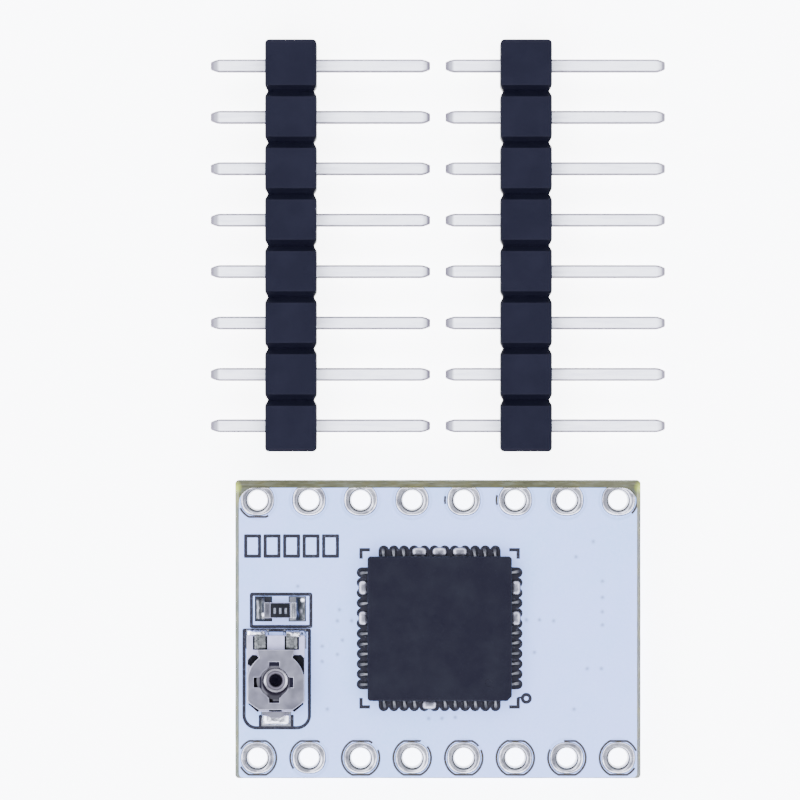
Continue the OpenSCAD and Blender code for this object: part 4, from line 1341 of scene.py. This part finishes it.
def make_underside():
    """Rounded parts under the board with their metal ends and fillets, upside down"""
    ends, joints = bmesh.new(), bmesh.new()
    for seed, (node, slot, end, seat, size, turn) in enumerate(underside_parts()):
        rotation = Matrix.Rotation(math.radians(turn), 4, "Z") @ Matrix.Rotation(math.pi, 4, "X")
        place = Matrix.Translation(seat) @ rotation
        half = size / 2
        x, y = half.x - 0.03, half.y - 0.02
        block_piece(f"{node}_body", slot, [node], (-x, -y, 0.02), (x, y, size.z - 0.02), 0.04, place)
        if "resistor" in node:
            x, y = half.x - end - 0.02, half.y - 0.04
            lo, hi = (-x, -y, size.z - 0.05), (x, y, size.z - 0.005)
            block_piece(f"{node}_coat", "glass_coat", [], lo, hi, 0.02, place)
        for side in (-1, 1):
            end_metal_block(ends, (-half.x, -half.y, 0), (half.x, half.y, size.z), side, end, place)
            face, lump = side * (half.x - 0.02), seed * 2 + side
            fillet(joints, face, 0, -0.015, half.y * 0.98, side * 0.4, size.z * 0.65, lump, place)
    finish(ends, "underside_ends", "end_metal", ["underside_end_caps"], 60)
    finish(joints, "underside_joints", "solder", ["underside_solder"], 60)


def heat_land_height(x, y):
    """The heat pad's face, with a sunk hole and a raised lip at each of its vias"""
    away = near(x, y, HEAT_VIAS)
    return LAND_BOTTOM + 0.04 * pit(away, 0.17) - 0.006 * ridge(away, 0.2, 0.04)


def make_bottom_faces():
    """The underside's mask, and the bare lands with the heat vias under the chip"""
    lands = []
    for _, _, _, seat, size, turn in underside_parts():
        pair = part_lands(-size.x / 2, size.x / 2, 0, size.y / 2 * 1.1)
        lands += [placed(land, seat.x, seat.y, turn) for land in pair]
    heat = box_outline(CHIP.x - HEAT_HALF, CHIP.x + HEAT_HALF, CHIP.y - HEAT_HALF, CHIP.y + HEAT_HALF)
    openings = PAD_OPENINGS + lands + [heat]
    extra = grid_points(MASK_OUTLINE, 0.8) + rings_of_points(VIAS, (0.05, 0.1, 0.15, 0.2, 0.25), 14)
    extra = only_inside(extra, MASK_OUTLINE)
    bm = bmesh.new()
    keep = keep_inside(MASK_OUTLINE, openings)
    sheet(bm, [MASK_OUTLINE, *openings], keep, CORE_BOTTOM, underside_height, extra)
    finish_mask(bm, "mask_bottom", "solder_mask_bottom")

    bm = bmesh.new()
    extra = rings_of_points(HEAT_VIAS, (0.06, 0.12, 0.15, 0.18, 0.24), 20)
    sheet(bm, [heat], keep_inside(heat), CORE_BOTTOM + 0.02, heat_land_height, extra)
    for land in lands:
        plate(bm, land, CORE_BOTTOM, LAND_BOTTOM, dissolve=False)
    finish(bm, "lands_bottom", "tin", ["copper_lands_bottom"], 60)


# ---- Pin headers ----

PINS = 8
SLEEVE_HALF = 0.325
POCKET_HALF = 0.45
POCKET_DEPTH = 0.12


def strip_rings(lo, hi):
    """Outlines along a strip: blocks with sloping grooves between them, necked in at each groove"""
    mid, half = (lo + hi) / 2, (hi - lo) / 2
    depth, slope, neck = 0.42, 0.28, 0.13
    pitch = (hi.y - lo.y) / PINS
    groove = [(0.0, 1.0), (0.06, 0.86), (slope * 0.7, 0.36), (slope, 0.08), (slope + 0.09, 0.0)]
    groove = [(along, neck * cut ** 1.5, depth * cut) for along, cut in groove]
    end = [(0.0, 0.2, 0.1), (0.02, 0.11, 0.055), (0.06, 0.055, 0.025), (0.12, 0.016, 0.007), (0.2, 0.0, 0.0)]
    stations = []
    for k in range(PINS):
        start = lo.y + k * pitch
        first = end if k == 0 else groove[1:]
        last = end if k == PINS - 1 else groove
        stations += [(start + along, aside, down) for along, aside, down in first]
        stations += [(start + pitch - along, aside, down) for along, aside, down in last[::-1]]
    rings = []
    for y, aside, down in stations:
        a, b = half.x - aside, half.z - down
        outline = rounded_rect(mid.x - a, mid.x + a, mid.z - b, mid.z + b, [0.07] * 4, 4)
        rings.append([(x, y, z) for x, z in outline])
    return rings


def make_strip(side):
    """One strip, with a square hole for each pin and a shallow pocket round it on the east side"""
    lo, hi = corners(f"header_{side}_strip")
    bm = bmesh.new()
    loft(bm, strip_rings(lo, hi))
    body = f"header_{side}"
    piece = finish(bm, f"strip_{side}", "header_plastic", [f"header_{side}_strip"], 24, body=body)
    sleeve, pocket = (lo.x - 1, hi.x + 1, SLEEVE_HALF), (hi.x - POCKET_DEPTH, hi.x + 1, POCKET_HALF)
    for number in range(1, PINS + 1):
        pin_lo, pin_hi = corners(f"header_{side}_pin_{number}")
        middle = (pin_lo + pin_hi) / 2
        for x0, x1, half in (sleeve, pocket):
            size = Matrix.Diagonal((x1 - x0, 2 * half, 2 * half, 1))
            cutter = bmesh.new()
            place = Matrix.Translation(((x0 + x1) / 2, middle.y, middle.z)) @ size
            bmesh.ops.create_cube(cutter, size=1.0, matrix=place)
            carve(piece, cutter)


def carve(piece, cutter):
    """Cuts a shape out of a piece for good, before its normals are evened"""
    tool = new_object("cutter", new_mesh(cutter, "cutter"))
    modifier = piece.modifiers.new("cut", "BOOLEAN")
    modifier.operation = "DIFFERENCE"
    modifier.solver = "EXACT"
    modifier.object = tool
    piece.modifiers.move(len(piece.modifiers) - 1, 0)
    shown = piece.modifiers["even_normals"]
    shown.show_viewport = False
    bpy.context.view_layer.update()
    result = bpy.data.meshes.new_from_object(piece.evaluated_get(bpy.context.evaluated_depsgraph_get()))
    shown.show_viewport = True
    piece.modifiers.remove(modifier)
    piece.data = result
    bpy.data.objects.remove(tool)


def make_pin(side, number):
    """A square pin with soft edges, and a blunt tip with four slopes at each end"""
    node = f"header_{side}_pin_{number}"
    lo, hi = corners(node)
    mid = (lo + hi) / 2
    half = (hi.y - lo.y) / 2
    tips = [(0.0, 0.5), (0.03, 0.62), (0.2, 0.84), (0.36, 0.97), (0.46, 1.0)]
    stations = [(lo.x + along, part) for along, part in tips]
    stations += [(hi.x - along, part) for along, part in tips[::-1]]
    rings = []
    for x, part in stations:
        a = half * part
        outline = rounded_rect(mid.y - a, mid.y + a, mid.z - a, mid.z + a, [0.1 * part + 0.02] * 4, 4)
        rings.append([(x, y, z) for y, z in outline])
    bm = bmesh.new()
    loft(bm, rings)
    finish(bm, f"pin_{side}_{number}", "pin_metal", [node], 32, body=f"header_{side}")


# ---- The stage ----

FLOOR_HALF = 1500
FLOOR_GLOW = 6.5

# A light tent: radiance against the sine of the height above the horizon. The patch overhead,
# where the camera looks in, is dim, and the walls of the tent are the brightest part.
TENT = [(0.0, 0.8), (0.45, 0.9), (0.56, 5.8), (0.88, 5.8), (0.94, 0.9), (1.0, 0.8)]
TENT_TINT = (0.95, 1.0, 1.14)
TENT_TILT = (-0.22, -0.18, 0.0)

VIEW_WIDTH = 39.4
VIEW_RIGHT = -1.87
VIEW_UP = 0.44


def make_floor():
    """A plain white light table: it glows, so the holes and the gaps stay pale"""
    bm = bmesh.new()
    outline = box_outline(-FLOOR_HALF, FLOOR_HALF, -FLOOR_HALF, FLOOR_HALF)
    bm.faces.new([bm.verts.new((x, y, FLOOR_Z - 0.02)) for x, y in outline])
    floor = new_object("floor", new_mesh(bm, "floor"))
    s = Shader("floor_white", 0.9, gloss=0.0)
    s.set("Base Color", (0.9, 0.9, 0.9, 1.0))
    s.set("Emission Color", (1.0, 1.0, 1.0, 1.0))
    s.set("Emission Strength", FLOOR_GLOW)
    floor.data.materials.append(s.material)


def make_world():
    """The tent round the object, brighter to the west and south"""
    world = bpy.data.worlds.new("studio")
    bpy.context.scene.world = world
    world.use_nodes = True
    tree = world.node_tree
    place = add_node(tree, "ShaderNodeTexCoord", {}, "Generated")
    height = add_node(tree, "ShaderNodeSeparateXYZ", {0: place}, 2)
    colour = add_node(tree, "ShaderNodeValToRGB", {0: height})
    elements = colour.node.color_ramp.elements
    elements.remove(elements[1])
    peak = max(radiance for _, radiance in TENT)
    for k, (sine, radiance) in enumerate(TENT):
        element = elements[0] if k == 0 else elements.new(sine)
        element.position = sine
        element.color = (*(radiance / peak * tint / max(TENT_TINT) for tint in TENT_TINT), 1.0)
    tilt = add_node(tree, "ShaderNodeVectorMath", {0: place, 1: TENT_TILT}, 1, operation="DOT_PRODUCT")
    strength = peak * max(TENT_TINT)
    inputs = {0: tilt, 1: strength, 2: strength}
    level = add_node(tree, "ShaderNodeMath", inputs, operation="MULTIPLY_ADD")
    background = tree.nodes["Background"]
    tree.links.new(colour, background.inputs["Color"])
    tree.links.new(level, background.inputs["Strength"])


def make_camera():
    """Straight down with a very long lens; the object lies a little right of the view's middle"""
    data = bpy.data.cameras.new("camera")
    data.lens = 300
    data.sensor_width = 36
    data.clip_start = 0.01
    data.clip_end = 10
    camera = new_object("camera", data)
    bpy.context.scene.camera = camera
    distance = VIEW_WIDTH * data.lens / data.sensor_width
    centre = (cad_lo + cad_hi) / 2 / MM
    camera.location = Vector((centre.x + VIEW_RIGHT, centre.y + VIEW_UP, BOARD_T + distance)) * MM


make_laminate()
make_mask_top()
make_bottom_faces()
make_board_eyelets()
make_contact_outlines()
make_chip()
make_chip_solder()
make_trimmer_base()
make_track()
make_drive_plate()
make_hub()
make_wiper_foot()
make_terminals()
make_trimmer_solder()
make_top_resistor()
make_underside()
for header in ("left", "right"):
    make_strip(header)
    for pin_number in range(1, PINS + 1):
        make_pin(header, pin_number)

# CAD nodes whose shape is right keep it and take their own slot's finish
for entry in frame["record"]["subparts"]:
    node_materials = frame["nodes"][entry["node"]].data.materials
    node_materials.clear()
    node_materials.append(MATERIALS[entry["material_slot"]])

make_floor()
make_world()
make_camera()
